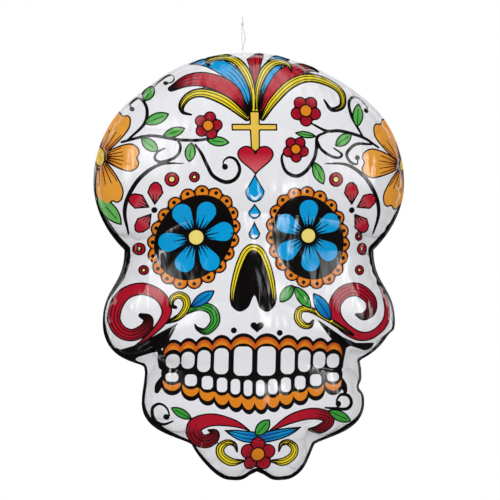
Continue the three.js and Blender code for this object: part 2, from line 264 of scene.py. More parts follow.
def smooth_line(line, steps=8):
    """A smooth line through points of any number of values."""
    knots = np.array(line, float)
    ends = np.vstack([2 * knots[0] - knots[1], knots, 2 * knots[-1] - knots[-2]])
    t = np.linspace(0, 1, steps, endpoint=False)[:, None]
    rows = [
        0.5 * (2 * b + (c - a) * t + (2 * a - 5 * b + 4 * c - d) * t**2 + (3 * (b - c) + d - a) * t**3)
        for a, b, c, d in zip(ends, ends[1:], ends[2:], ends[3:])
    ]
    return np.vstack(rows + [knots[-1:]])


def distance_along(line):
    """How far along a line each of its points is."""
    return np.concatenate([[0], np.cumsum(np.linalg.norm(np.diff(line, axis=0), axis=1))])


def half_outline():
    """The right half of the cut edge in mm, from crown to chin, before its notch is lifted."""
    temple_angle = math.acos(TEMPLE_HALF / CRANIUM_HALF)
    lower_rise = CRANIUM_FALL / math.sin(temple_angle)
    over = np.linspace(0, math.pi / 2, 200)
    under = np.linspace(0, temple_angle, 120)[1:]
    cranium = np.stack([CRANIUM_HALF * np.sin(over), CRANIUM_RISE * (np.cos(over) - 1)], axis=1)
    cranium[:, 0] *= 1 - SHOULDER_DIP * bell(cranium[:, 1], SHOULDER_Z, SHOULDER_REACH)
    below = np.stack([CRANIUM_HALF * np.cos(under), -CRANIUM_RISE - lower_rise * np.sin(under)], axis=1)
    temple, cheek = (TEMPLE_HALF, TEMPLE_Z), (CHEEK_HALF, CHEEK_Z)
    jaw_pinch, jaw = (JAW_PINCH_HALF, JAW_PINCH_Z), (JAW_HALF, JAW_Z)
    chin_pinch, chin = (CHIN_PINCH_HALF, CHIN_PINCH_Z), (CHIN_HALF, CHIN_Z)
    under_cheek = CHEEK_HALF - JAW_PINCH_HALF
    under_jaw = JAW_HALF - CHIN_PINCH_HALF
    beside_chin = CHIN_PINCH_HALF - CHIN_HALF
    return np.vstack([
        cranium,
        below,
        bezier(temple, (0, -CHEEK_RISE / 2), cheek, (0, CHEEK_RISE / 2)),
        bezier(cheek, (0, -CHEEK_FALL * 0.6), jaw_pinch, (under_cheek / 2, CHEEK_FALL / 6)),
        bezier(jaw_pinch, (0, -JAW_RISE / 2), jaw, (0, JAW_RISE / 3)),
        bezier(jaw, (0, -JAW_FALL * 0.7), chin_pinch, (under_jaw * 0.3, JAW_FALL * 0.2)),
        bezier(chin_pinch, (-beside_chin / 6, -CHIN_FALL / 3), chin, (beside_chin / 2, CHIN_DIP / 2)),
        bezier(chin, (-CHIN_HALF / 3, -CHIN_DIP / 3), (0, CHIN_Z - CHIN_DIP), (CHIN_HALF / 2, 0)),
    ])


def rim_rows(rows, weld):
    """Evenly spread points of the cut edge and of the weld line inside it, from crown to chin."""
    line = half_outline()
    # Partly even along the edge and partly even in height
    spread = 0.35 * distance_along(line) - 0.65 * line[:, 1]
    at = np.linspace(0, spread[-1], rows)
    edge = np.stack([np.interp(at, spread, line[:, 0]), np.interp(at, spread, line[:, 1])], axis=1)
    heading = np.gradient(edge, axis=0)
    heading[0] = (1, 0)
    heading[-1] = (-1, 0)
    heading /= np.hypot(*heading.T)[:, None]
    inset = edge + weld * np.stack([heading[:, 1], -heading[:, 0]], axis=1)
    inset[:, 1] = np.minimum.accumulate(inset[:, 1])
    return edge, inset


def lift_notch(x, z):
    """How far the notch of the chin lifts each point."""
    return CHIN_NOTCH * bell(x, 0, NOTCH_HALF) * smoothstep(-z, -CHIN_Z - 55, -CHIN_Z)


def settle(x, z):
    """Moves points in mm as uneven filling does."""
    down = -z / UNIT
    # The jaw and then the chin lean to the right, and the right of the jaw is crumpled
    lean = 4.8 * smoothstep(down, 300, 320) + 4.8 * smoothstep(down, 392, 424)
    crumple = 6 * smoothstep(x, 110, 140) * bell(down, 335, 5)
    # The left cheek sags and the right one is drawn up
    tilt = (3.5 * x + 1.5 * np.abs(x)) / JAW_PINCH_HALF * bell(down, 303, 22)
    drawn_up = 6 * smoothstep(x, 112, 140) * bell(down, 291, 9)
    # The right shoulder of the crown is low
    shoulder = 3 * smoothstep(x, 20, 60) * smoothstep(-x, -130, -90) * smoothstep(-down, -55, -20)
    return x + lean - crumple, z + tilt + drawn_up - shoulder


def swell(z, sizes, weld):
    """How far a panel stands out from the rim along the middle of the face."""
    depth = np.interp(z, (JAW_CENTRE_Z, CHEEK_Z), (sizes.jaw_depth / MM, sizes.cheek_depth / MM))
    stations = (
        (-CRANIUM_RISE, sizes.cranium_depth / MM, TEMPLE_Z, sizes.temple_depth / MM),
        (TEMPLE_Z, sizes.temple_depth / MM, CHEEK_Z, sizes.cheek_depth / MM),
        (CHEEK_Z, sizes.cheek_depth / MM, JAW_CENTRE_Z, sizes.jaw_depth / MM),
    )
    for top, top_depth, foot, foot_depth in stations:
        inside = (z <= top) & (z >= foot)
        blend = top_depth + (foot_depth - top_depth) * smoothstep(-z, -top, -foot)
        depth = np.where(inside, blend, depth)
    rise = np.clip((z + CRANIUM_RISE) / (CRANIUM_RISE - weld), 0, 1)
    fall = np.clip((JAW_CENTRE_Z - z) / (JAW_CENTRE_Z - CHIN_Z + CHIN_DIP - weld), 0, 1)
    depth = np.where(z > -CRANIUM_RISE, sizes.cranium_depth / MM * np.sqrt(1 - rise**2), depth)
    return np.where(z < JAW_CENTRE_Z, sizes.jaw_depth / MM * np.sqrt(1 - fall**2), depth)


# Creases in the front film, as (across, down, depth in mm) in print units
CREASES = (
    ((-128.5, 194, 7), (-102, 187.5, 5), (-69, 169.5, 2.6), (-14.5, 159.5, 1.4), (10.5, 161.5, 1.4),
     (56, 164.5, 1.8), (94.5, 171.5, 4), (124, 192, 7)),
    ((-113, 75.5, 0.6), (-54, 79.5, 1.4), (-22, 73.5, 1.5), (24, 75.5, 1.5), (61, 84.5, 1.4),
     (92, 97.5, 0.5)),
    ((-111, 297.5, 6), (-93, 282.5, 5), (-72, 265.5, 3), (-49.5, 253.5, 1.5), (-27, 247.5, 0.8)),
    ((100, 295.5, 6), (82, 280.5, 5), (64, 267.5, 3), (41.5, 255.5, 2.5), (21, 248.5, 1.2)),
    ((-109, 309, 8), (-97, 311.5, 6), (-78, 315.5, 3), (-44, 319.5, 1)),
    ((108, 313, 8), (92, 317.5, 4), (67, 313.5, 3), (44, 306, 1)),
    ((78, 300.5, 3), (44, 291.5, 1)),
    ((-103, 372.5, 5), (-75, 366.5, 3), (-55, 368.5, 2), (-31, 374.5, 1.5), (0, 378.5, 1.5),
     (34, 377.5, 1.5), (54, 371.5, 2.5), (73, 367.5, 3), (90, 372.5, 5)),
    ((-63, 391, 7), (-52, 390, 3), (-36, 392, 1)),
    ((63, 391, 7), (52, 390, 3), (36, 392, 1)),
    ((0, 424, 6), (0, 412, 3), (0, 398, 0.5)),
    ((-6, 202, -0.6), (1, 222, -1.8), (5, 242, -2), (3, 256, -0.8)),  # a ridge down the nose
)
CREASE_LIMIT = 0.6  # share of a panel's distance from the weld that its creases can take up
VALVE_FADE = 25  # mm over which creases fade out towards the valve
PINCH_FOLDS = 10  # folds in the fan at each pinch
PLAIN_ROWS = 8  # rows at the crown and at the chin that have no gathers


def drawn_by(across, down, rows):
    """Distance of each point from a line in mm, and the line's own depth where it passes nearest."""
    best = np.full(len(across), np.inf)
    drawn = np.zeros(len(across))
    for (ax, ay, ad), (bx, by, bd) in zip(rows, rows[1:]):
        step = np.array((bx - ax, by - ay))
        t = np.clip(((across - ax) * step[0] + (down - ay) * step[1]) / (step @ step), 0, 1)
        away = np.hypot(across - ax - t * step[0], down - ay - t * step[1]) * UNIT
        nearer = away < best
        best = np.where(nearer, away, best)
        drawn = np.where(nearer, ad + t * (bd - ad), drawn)
    return best, drawn


def crease_depth(across, down):
    """How far the creases draw the film in at each point, in mm."""
    depth = np.zeros(len(across))
    for crease in CREASES:
        away, drawn = drawn_by(across, down, smooth_line(crease))
        sharp, soft = np.exp(-away / 5), bell(away, 0, 14)
        depth += drawn * (0.75 * sharp + 0.65 * soft)
    return depth


def fold_depth(across, down, edge, count, seed):
    """How far gathers along the rim and fans of folds at its pinches draw the film in, in mm."""
    luck = np.random.RandomState(seed)
    heading = np.gradient(edge, axis=0)
    pinches = [np.argmin(np.abs(edge[:, 1] - z)) for z in (TEMPLE_Z, JAW_PINCH_Z, CHIN_PINCH_Z)]
    roots = [(at, luck.uniform(1.3, 2.8), luck.uniform(30, 75)) for at in pinches * PINCH_FOLDS]
    last = len(edge) - PLAIN_ROWS
    roots += [(luck.randint(PLAIN_ROWS, last), luck.uniform(0.8, 2.2), luck.uniform(15, 60))
              for _ in range(count)]
    depth = np.zeros(len(across))
    for at, deep, reach in roots:
        side = luck.choice((-1, 1))
        spread = luck.normal(0, 0.45)
        way = heading[at] / np.hypot(*heading[at])
        inwards = np.array((way[1], -way[0]))
        inwards = math.cos(spread) * inwards + math.sin(spread) * way
        x, z = settle(side * np.array([edge[at, 0], edge[at, 0] + reach * inwards[0]]),
                      np.array([edge[at, 1], edge[at, 1] + reach * inwards[1]]))
        rows = np.stack([x / UNIT, -z / UNIT, (deep, 0)], axis=1)
        away, drawn = drawn_by(across, down, rows)
        depth += drawn * bell(away, 0, luck.uniform(2.6, 4.2))
    return depth


# Printed face


def mixed(first, last, share):
    """Inks between two inks, one for each share."""
    share = share[:, None]
    return (1 - share) * np.array(first) + share * np.array(last)


class PrintedFace:
    """The inks on the film: each point's ink and its gap to the nearest shape, layer by layer."""

    def __init__(self, across, down):
        self.across, self.down = across, down
        self.gap = np.full((LAYERS, len(across)), FAR)
        self.ink = np.zeros((LAYERS, len(across), 3))
        self.lines = np.full(len(across), FAR)

    def near(self, points, reach):
        """Indices of the film's points within reach of a box round the given points."""
        low = np.min(points, axis=0) - reach
        high = np.max(points, axis=0) + reach
        inside = (self.across > low[0]) & (self.across < high[0])
        return np.flatnonzero(inside & (self.down > low[1]) & (self.down < high[1]))

    def places(self, spots):
        """The points at those indices, as rows."""
        return np.stack([self.across[spots], self.down[spots]], axis=1)

    def lay(self, layer, spots, gap, ink):
        """Prints a shape, given the gap to its edge at each spot, and wipes ruled lines under it."""
        nearer = gap < self.gap[layer, spots]
        hit = spots[nearer]
        self.gap[layer, hit] = gap[nearer]
        self.ink[layer, hit] = np.broadcast_to(ink, (len(spots), 3))[nearer]
        self.lines[spots[gap < WIPED]] = FAR

    def fade(self, spots, start, end, first, last):
        """Inks that go from first at the start point to last at the end point."""
        way = np.array(end, float) - start
        return mixed(first, last, np.clip((self.places(spots) - start) @ way / (way @ way), 0, 1))

    def ribbon(self, layer, line, ink, tip=None, tip_from=0.5, ruled=0, plain=(2, 2)):
        """A stroke along (across, down, half-width) points, which may fade to a tip ink.

        It may also be ruled along, but for a plain stretch given as shares of its length.
        """
        rows = smooth_line(line)
        spots = self.near(rows[:, :2], rows[:, 2].max() + FAR / 2)
        places = self.places(spots)
        sizes = np.hypot(*np.diff(rows[:, :2], axis=0).T).clip(1e-6)
        reached = np.concatenate([[0], np.cumsum(sizes)])
        gap = np.full(len(spots), np.inf)
        along, side, half = np.zeros(len(spots)), np.zeros(len(spots)), np.ones(len(spots))
        for a, b, size, start in zip(rows, rows[1:], sizes, reached):
            step = b[:2] - a[:2]
            rel = places - a[:2]
            t = np.clip(rel @ step / size**2, 0, 1)
            off = rel - t[:, None] * step
            wide = np.maximum(a[2] + t * (b[2] - a[2]), THINNEST)
            here = np.hypot(*off.T) - wide
            nearer = here < gap
            gap = np.where(nearer, here, gap)
            along = np.where(nearer, start + t * size, along)
            side = np.where(nearer, (step[0] * off[:, 1] - step[1] * off[:, 0]) / size, side)
            half = np.where(nearer, wide, half)
        if tip is not None:
            ink = mixed(ink, tip, smoothstep(along / reached[-1], tip_from, 1))
        self.lay(layer, spots, gap, ink)
        if ruled:
            turns = math.pi * (ruled + 1) / 2
            share = along / reached[-1]
            hidden = smoothstep(share, plain[0] - RULE_FADE, plain[0])
            hidden -= smoothstep(share, plain[1], plain[1] + RULE_FADE)
            lines = half / turns * np.sin(turns * (side / half + 1)) * (1 + (THINNED - 1) * hidden)
            inside = gap < 0
            self.lines[spots[inside]] = lines[inside]

    def leaf(self, layer, base, tip, half, ink, tip_ink):
        """A pointed leaf with a midrib."""
        base, tip = np.array(base, float), np.array(tip, float)
        spots = self.near([base, tip], half + FAR / 2)
        length = np.hypot(*(tip - base))
        way = (tip - base) / length
        rel = self.places(spots) - (base + tip) / 2
        off = rel[:, 1] * way[0] - rel[:, 0] * way[1]
        bend = (length**2 / 4 + half**2) / (2 * half)
        gap = np.hypot(rel @ way, np.abs(off) + bend - half) - bend
        self.lay(layer, spots, gap, self.fade(spots, base, tip, ink, tip_ink))
        inside = (gap < 0) & (rel @ way < length * MIDRIB)
        self.lines[spots[inside]] = off[inside]

    def oval(self, layer, centre, radii, ink, slant=0, rim=None):
        """An upright oval, which may lean by a share of its height and have a rim of another ink."""
        spots = self.near([centre], max(radii) * (1 + abs(slant)) + FAR / 2)
        rel = self.places(spots) - centre
        rel[:, 0] -= slant * rel[:, 1]
        rel /= radii
        scale = np.hypot(*rel.T) + 1e-6
        gap = scale * (scale - 1) / (np.hypot(*(rel / radii).T) + 1e-9)
        if rim is not None:
            rim_ink, depth = rim
            ink = mixed(rim_ink, ink, smoothstep(-gap, depth - RIM_BLUR, depth + RIM_BLUR))
        self.lay(layer, spots, gap, ink)

    def dot(self, layer, centre, radius, ink, rim=None):
        """A round dot, which may have a rim of another ink."""
        self.oval(layer, centre, (radius, radius), ink, rim=rim)

    def blossom(self, layer, centre, reach, turn, ink, shade, petals=5):
        """A flower of round petals, shaded towards its middle."""
        spots = self.near([centre], reach + FAR / 2)
        rel = self.places(spots) - centre
        away = np.hypot(*rel.T)
        gap = away - reach / 2
        petal = 0.42 * reach
        for k in range(petals):
            middle = (reach - petal) * pointing(turn + 2 * math.pi * k / petals - math.pi / 2)
            gap = np.minimum(gap, np.hypot(*(rel - middle).T) - petal)
        self.lay(layer, spots, gap, mixed(shade, ink, np.clip(away / reach, 0, 1)))

    def patch(self, layer, corners, ink, fade_to=None):
        """A shape with the given corners, which may fade from its first one to another ink at a point."""
        corners = np.array(corners, float)
        spots = self.near(corners, FAR / 2)
        places = self.places(spots)
        gap = np.full(len(spots), np.inf)
        inside = np.zeros(len(spots), bool)
        for a, b in zip(corners, np.roll(corners, -1, axis=0)):
            step = b - a
            rel = places - a
            t = np.clip(rel @ step / max(step @ step, 1e-9), 0, 1)
            gap = np.minimum(gap, np.hypot(*(rel - t[:, None] * step).T))
            spans = (a[1] > places[:, 1]) != (b[1] > places[:, 1])
            inside ^= spans & (rel[:, 0] < rel[:, 1] * step[0] / (step[1] or 1e-9))
        if fade_to is not None:
            point, last = fade_to
            ink = self.fade(spots, corners[0], point, ink, last)
        self.lay(layer, spots, np.where(inside, -gap, gap), ink)
        return spots[inside]

    def tile(self, layer, centre, size, corner, ink):
        """A box with rounded corners."""
        spots = self.near([centre], max(size) / 2 + FAR / 2)
        over = np.abs(self.places(spots) - centre) - np.array(size) / 2 + corner
        gap = np.hypot(*np.maximum(over, 0).T) + np.minimum(over.max(axis=1), 0) - corner
        self.lay(layer, spots, gap, ink)

    def rays(self, spots, centre, spacing, reach):
        """Rules lines that radiate from a centre, a given angle apart, as far as reach."""
        rel = self.places(spots) - centre
        out = np.hypot(*rel.T)
        turns = math.pi / spacing
        ruled = out * np.sin(turns * np.arctan2(rel[:, 1], rel[:, 0])) / turns
        inside = out < reach
        self.lines[spots[inside]] = ruled[inside]


def round_loop(corners, steps=6):
    """A smooth closed loop through corners."""
    looped = np.vstack([corners[-1:], corners, corners[:2]])
    return smooth_line(looped, steps)[steps:-steps - 1]


def heart_corners(centre, width, height):
    """Corners of a heart."""
    angle = np.linspace(0, 2 * math.pi, 40, endpoint=False)
    across = np.sin(angle) ** 3
    up = 13 * np.cos(angle) - 5 * np.cos(2 * angle) - 2 * np.cos(3 * angle) - np.cos(4 * angle)
    return np.stack([centre[0] + across * width / 2, centre[1] - (up / 14.5 + 0.12) * height / 2], axis=1)


def drop_corners(top, foot, widest, half):
    """Corners of a hanging drop with a pointed top."""
    down = np.linspace(0, 1, 14)
    side = half * down**1.1
    upper = np.stack([side, top + (widest - top) * down], axis=1)
    turn = np.linspace(0, math.pi / 2, 10)[1:]
    lower = np.stack([half * np.cos(turn), widest + (foot - widest) * np.sin(turn)], axis=1)
    right = np.vstack([upper, lower])
    return np.vstack([right, (right * (-1, 1))[-2:0:-1]])


def print_feathers(art, inks):
    """The fan of feathers on the crown."""
    blue = (
        ((-5.5, 54, 1.6), (-8.2, 41.2, 6), (-18.2, 24.5, 7.8), (-31.8, 14.3, 7.9), (-45.8, 10.7, 4.4),
         (-60, 12.1, 0.5)),
        ((9.3, 43, 1.5), (13, 29.5, 6), (19.5, 18, 8), (26, 10, 7), (34, 7.4, 3.2), (41, 6.8, 0.8)),
    )
    red = (
        ((-6.8, 59.5, 2), (-22, 39.3, 8), (-43.7, 29.1, 8), (-62.5, 29.1, 6.5), (-80.5, 37.6, 3)),
        ((7.2, 59.7, 2), (14.5, 44.1, 5), (25.7, 29.6, 7), (35.1, 22.3, 8), (46, 18, 7), (58.2, 16.1, 4.4),
         (70.8, 19.4, 0.5)),
    )
    yellow = (
        ((-7, 67, 3), (-28.5, 49.5, 5.2), (-48.7, 41.9, 4.5), (-62.5, 44.5, 3.7), (-70.5, 53.4, 3),
         (-70, 61, 1.5), (-61.7, 63.8, 0.5)),
        ((-0.5, 62, 2.4), (-0.8, 42, 3.2), (-2.8, 30.6, 4), (-6.5, 20.9, 4.6), (-11.8, 12.4, 4.4),
         (-18.1, 7.3, 4), (-25.6, 5.2, 3.6), (-33.5, 5.6, 3.3), (-39.5, 7.4, 3), (-42.6, 10.2, 2.4),
         (-42.1, 14, 1)),
        ((2.6, 62, 2.4), (3.8, 42, 3.2), (7.3, 29.6, 4), (12.3, 20.1, 4.5), (19.6, 12.9, 4.2),
         (27.3, 10, 3.8), (34.7, 10.7, 3.4), (38.8, 14.3, 2.8), (40, 20.1, 1)),
        ((8.4, 67, 2.6), (18.9, 50.7, 4.4), (35.9, 34, 4.8), (54.2, 26.2, 4.5), (73.7, 28.9, 4.2),
         (89.1, 39, 3.6), (90, 53.6, 3), (78.5, 58, 1.8), (71.3, 48.5, 0.5)),
    )
    art.patch(BASE, ((-9, 66), (10, 66), (9, 44), (4, 36), (-3, 36), (-7, 44)), inks.black)
    for line in blue:
        art.ribbon(LOW, line, inks.blue, inks.dark_blue, 0.8, ruled=3, plain=(0.62, 2))
    for line in red:
        art.ribbon(MIDDLE, line, inks.red, inks.black, 0.75, ruled=3, plain=(0.3, 0.55))
    crest = ((3, 46), (1, 31.8), (-1, 23), (-3, 14.3), (-4.6, 7.4), (1.5, 3.6), (7.4, 0.6), (15.5, 1),
             (11.6, 8.5), (7.4, 20.1), (4.6, 33.2))
    inside = art.patch(MIDDLE, crest, inks.red)
    art.rays(inside, np.array((2.9, 50)), 0.11, 60)
    for line in yellow:
        bold = [(across, down, half + 0.5) for across, down, half in line]
        art.ribbon(MIDDLE, bold, inks.black)
        art.ribbon(HIGH, line, inks.yellow, ruled=2)


def print_cross_and_drops(art, inks):
    """The cross, the heart and the three drops down the forehead."""
    cross = ((-5, 60), (6, 60), (5.6, 72.6), (23, 72.6), (23, 79.6), (5.6, 79.6), (5.2, 97.5), (0.6, 101.5),
             (-4, 97.5), (-4.6, 79.6), (-22.6, 79.6), (-22.6, 72.6), (-4.6, 72.6))
    art.patch(TOP, cross, inks.gold)
    heart = heart_corners((0.7, 108.8), 36.5, 30.5)
    # The heart is printed red; the pale red at its foot is a painted highlight
    art.patch(HIGH, heart, inks.red, ((0.7, 124), inks.painted_highlight_red))
    drops = ((122, 150.5, 139, 9.7), (151.5, 167, 160, 6.4), (169, 187.5, 181, 6))
    for top, foot, widest, half in drops:
        art.patch(HIGH, drop_corners(top, foot, widest, half), inks.blue)
        end = 0.62 * half
        crescent = ((-end, widest + 2.5, 0.2), (0, foot - 3.6, 1.5), (end, widest + 2.5, 0.2))
        art.ribbon(BARE, crescent, inks.film)


def print_flowers_and_vines(art, inks):
    """The red flowers on the forehead and the chin, and the vines, curls and leaves."""
    strokes = (
        ((-129.5, 90.5, 1.2), (-102.5, 84.5, 1.6), (-75.3, 88.5, 1.6), (-54, 89, 1.6), (-42, 85.5, 1.4),
         (-35.5, 79.5, 1)),
        ((-123.7, 88.5, 1), (-107.5, 72.5, 1.6), (-104.5, 57.5, 1.6), (-110.5, 46.5, 1.4), (-119, 51.5, 0.9),
         (-119.5, 56, 0.9)),
        ((-97, 36, 0.6), (-88, 27.5, 0.8), (-80.5, 23, 0.9), (-76.5, 25, 0.8), (-78, 30, 0.7),
         (-83, 31.8, 0.7)),
        ((-77, 87.5, 1), (-73, 94.5, 1.4), (-75, 102.5, 1.6), (-81, 107.5, 1.5), (-93, 110.5, 1.4),
         (-98, 106.5, 1.3), (-95, 100.5, 1.1), (-88, 97, 0.8)),
        ((-58.5, 93.5, 1), (-52.5, 102.5, 1.6), (-46.8, 114.5, 1.8), (-41, 124.5, 1.9), (-29.3, 130.5, 2),
         (-19.5, 127.5, 1.9), (-15, 118.5, 1.7), (-18.5, 109, 1.5), (-25.5, 106, 1.2), (-31, 110, 0.8),
         (-30.5, 114, 0.8)),
        ((126.5, 95.5, 1), (109.7, 85.5, 1.5), (87, 79.5, 1.7), (72.5, 79.5, 1.5), (58, 72.5, 1)),
        ((73.5, 80.5, 1), (63.2, 85.5, 1.5), (61.7, 97.5, 1.7), (59.2, 107.5, 1.8), (51, 119.5, 1.9),
         (41, 124.5, 1.9), (30.7, 119.5, 1.7), (26.7, 107.5, 1.4), (29.7, 99.5, 0.8)),
        ((62.3, 87.5, 1), (66.5, 97.5, 1.5), (76.5, 104.5, 1.5), (84.6, 106, 1.4), (87.6, 102.5, 1.2),
         (79.5, 96.5, 0.8)),
        ((109.7, 84.5, 1), (99.5, 65.5, 1.6), (97.3, 50.5, 1.6), (104.5, 44.5, 1.4), (113.8, 49.5, 0.9),
         (117.3, 55.5, 1)),
        ((119, 92.5, 1), (102.7, 92.5, 1.6), (93, 101.5, 1.6), (95.7, 109.5, 1.4), (103, 112.5, 0.9),
         (104.2, 107.5, 0.6)),
    )
    for line in strokes:
        art.ribbon(BASE, line, inks.black)
    dots = ((-118.5, 57.5, 2.4), (-85, 31.5, 2.2), (-29.5, 115.5, 3), (115.3, 58.5, 2.6), (103.7, 106, 2.6))
    for across, down, reach in dots:
        art.dot(BASE, (across, down), reach, inks.black)
    leaves = (
        ((-108, 72.5), (-83, 62.5), 6), ((-90.5, 85.3), (-67.5, 77), 5.2), ((-62.2, 91), (-64.7, 111), 5.6),
        ((-48, 89), (-24.5, 91.5), 5.2), ((-111, 87), (-94.5, 100), 6), ((-107, 50), (-96.5, 33.5), 5.4),
        ((62.7, 85.3), (40, 81.5), 3.6), ((81, 94.5), (98.5, 82), 5.8), ((104, 76), (107.5, 51), 6),
        ((58.5, 110), (69, 133), 6),
    )
    for base, tip, half in leaves:
        art.leaf(MIDDLE, base, tip, half, inks.green, inks.pale_green)
    flowers = (
        (-45.5, 74.5, 14.5, 0.25), (52, 59.5, 16, -0.63), (41, 97.8, 13.6, 0.6), (1, 400.7, 18, 0))
    for across, down, reach, turn in flowers:
        middle = np.array((across, down))
        art.blossom(HIGH, middle, reach, turn, inks.red, inks.dark_red)
        art.dot(TOP, middle, reach * 0.42, inks.orange)
        for k in range(5):
            way = reach * pointing(turn + 2 * math.pi * (k + 0.5) / 5 - math.pi / 2)
            slit = [(*(middle + share * way), half) for share, half in ((0.4, 0.5), (0.72, 1))]
            art.ribbon(BARE, slit, inks.black)


def print_marigolds(art, inks):
    """The half marigolds on the temples."""
    flowers = (
        ((-150, 104.5), (5.5, 10.5), ((-126, 61.5), 0.23, (-138, 152), 0.27, (-112.5, 106.5), 0.38)),
        ((153.5, 112.5), (3, 7), ((128.5, 69), 0.26, (139.5, 156), 0.27, (108, 111), 0.33)),
    )
    art.leaf(LOW, (-153, 144), (-129, 173), 7, inks.pale_green, inks.pale_green)
    half = np.array(((0.06, 0.18), (0.36, 0.68), (0.73, 1), (0.94, 0.76), (1, 0.34)))
    outline = np.vstack([half, [(0.95, 0)], (half * (1, -1))[::-1]])
    for centre, radii, petals in flowers:
        for layer, tip, wide in zip((LOW, LOW, MIDDLE), petals[::2], petals[1::2]):
            way = np.array(tip, float) - centre
            across = wide * np.array((-way[1], way[0]))
            corners = round_loop(centre + outline[:, :1] * way + outline[:, 1:] * across)
            inside = art.patch(layer, corners, inks.dark_orange, (centre + 0.5 * way, inks.pale_orange))
            art.rays(inside, np.array(centre), 0.2, np.hypot(*way) * 0.6)
        art.oval(TOP, centre, radii, inks.gold)


def print_red_dot(art, inks, centre, reach):
    """A red dot with a yellow centre in a black ring."""
    art.dot(HIGH, centre, reach, inks.red)
    art.dot(TOP, centre, reach * 0.52, inks.cream)


def print_temples(art, inks):
    """The arcs, gems and dots round the outer sides of the eyes."""
    half = np.array(((12.5, 8), (20, 5.8), (23.5, 2)))
    outline = np.vstack([(0, 0), half, (half * (1, -1))[::-1]])
    for side in (-1, 1):
        arc = ((69, 112, 0.5), (92.4, 113, 1.5), (111, 125, 2), (123, 143.5, 2.1), (126.7, 161, 1.9),
               (122, 182, 0.9))
        art.ribbon(BASE, [(side * x, v, half) for x, v, half in arc], inks.black)
        hub = np.array((side * 98.2, 158))
        art.dot(HIGH, hub, 3, inks.black)
        for middle in ((97.5, 141.5), (113, 150), (108, 170.5)):
            way = np.array((side * middle[0], middle[1])) - hub
            away = np.hypot(*way)
            way /= away
            across = np.array((-way[1], way[0]))
            near = hub + way * (away - 12)
            gem = near + outline[:, :1] * way + outline[:, 1:] * across
            # Each gem is printed red; the pale red towards the hub is a painted highlight
            inside = art.patch(HIGH, gem, inks.painted_highlight_red, (near + way * 17, inks.red))
            art.rays(inside, near - way * 3, 0.24, 15)
        for across, down, reach in ((81.5, 127.7, 7.4), (111.5, 196.5, 6.4), (107.7, 217.5, 5.2)):
            print_red_dot(art, inks, (side * across, down), reach)
    print_red_dot(art, inks, (-59.5, 125.5), 5.5)
    print_red_dot(art, inks, (107, 184), 4.6)


def print_eyes(art, inks):
    """The eye sockets: a scalloped ring, a black field and a blue flower with six petals."""
    scallops, scallop = 19, 7.8
    # Middle, field, ring and slant of each socket; middle, reach, turns and heart of its flower;
    # and where the first scallop is, in steps from straight right
    eyes = (
        ((-59, 185.3), (38, 42.2), (44.8, 52), -0.18,
         (-57.2, 185), 38, (-12, 60, 114, 170, 239, 291), 8.6, 0.17),
        ((54.2, 185.3), (36.2, 41.6), (43, 51.3), 0.12,
         (54.2, 183.4), 36, (-90, -30, 37, 85, 145, 208), 8.3, 0.5),
    )
    for socket, field, ring, slant, flower, reach, turns, heart, first in eyes:
        lean = np.array(((1, 0), (slant, 1)))
        for k in range(2 * scallops):
            angle = 2 * math.pi * (k / 2 + first) / scallops
            angle -= 0.048 * math.sin(2 * angle)  # evens the steps round the oval
            inner, dotted, outer, middle = (
                socket + (pointing(angle) * (ring[0] - back, ring[1] - back)) @ lean
                for back in (9, 5.4, 3, scallop))
            if k % 2:
                art.ribbon(BARE, ((*outer, 0.7), (*inner, 0.7)), inks.black)
            else:
                art.dot(LOW, middle, scallop, inks.orange, rim=(inks.dark_orange, 2.2))
                art.dot(BARE, dotted, 2, inks.black)
        art.oval(MIDDLE, socket, field, inks.black, slant)
        for turn in turns:
            angle = math.radians(turn)
            widths = ((0.2, 3.6), (0.45, 7.2), (0.72, 10.9))
            petal = [(*(flower + pointing(angle) * reach * share), half) for share, half in widths]
            art.ribbon(HIGH, petal, inks.blue)
            for lean_by, length in ((-0.25, 20), (0, 24), (0.25, 20)):
                vein = pointing(angle + lean_by)
                line = ((*(flower + vein * 8), 1.1), (*(flower + vein * length), 0.3))
                art.ribbon(BARE, line, inks.black)
        art.dot(TOP, flower, heart, inks.cream)


def print_nose(art, inks):
    """The nose: an upside-down heart with a double yellow band over its upper sides."""
    corners = np.array((
        (-1.2, 191.5), (9, 197), (16.5, 215), (21.5, 236), (21.5, 250), (14, 258.5), (5.5, 255), (0, 242.5),
        (-6, 254), (-15, 258.5), (-23, 252), (-24, 238), (-18, 213), (-10, 196)))
    art.patch(LOW, round_loop(corners), inks.black)
    band = ((-21.5, 252, 1.7), (-21, 236, 3), (-15.5, 214, 3.6), (-8.5, 199, 3.8), (-1.2, 195, 3.8),
            (7, 199.5, 3.8), (14, 215.5, 3.6), (18.6, 236, 3), (19.2, 251, 1.7))
    art.ribbon(MIDDLE, band, inks.yellow, ruled=1)


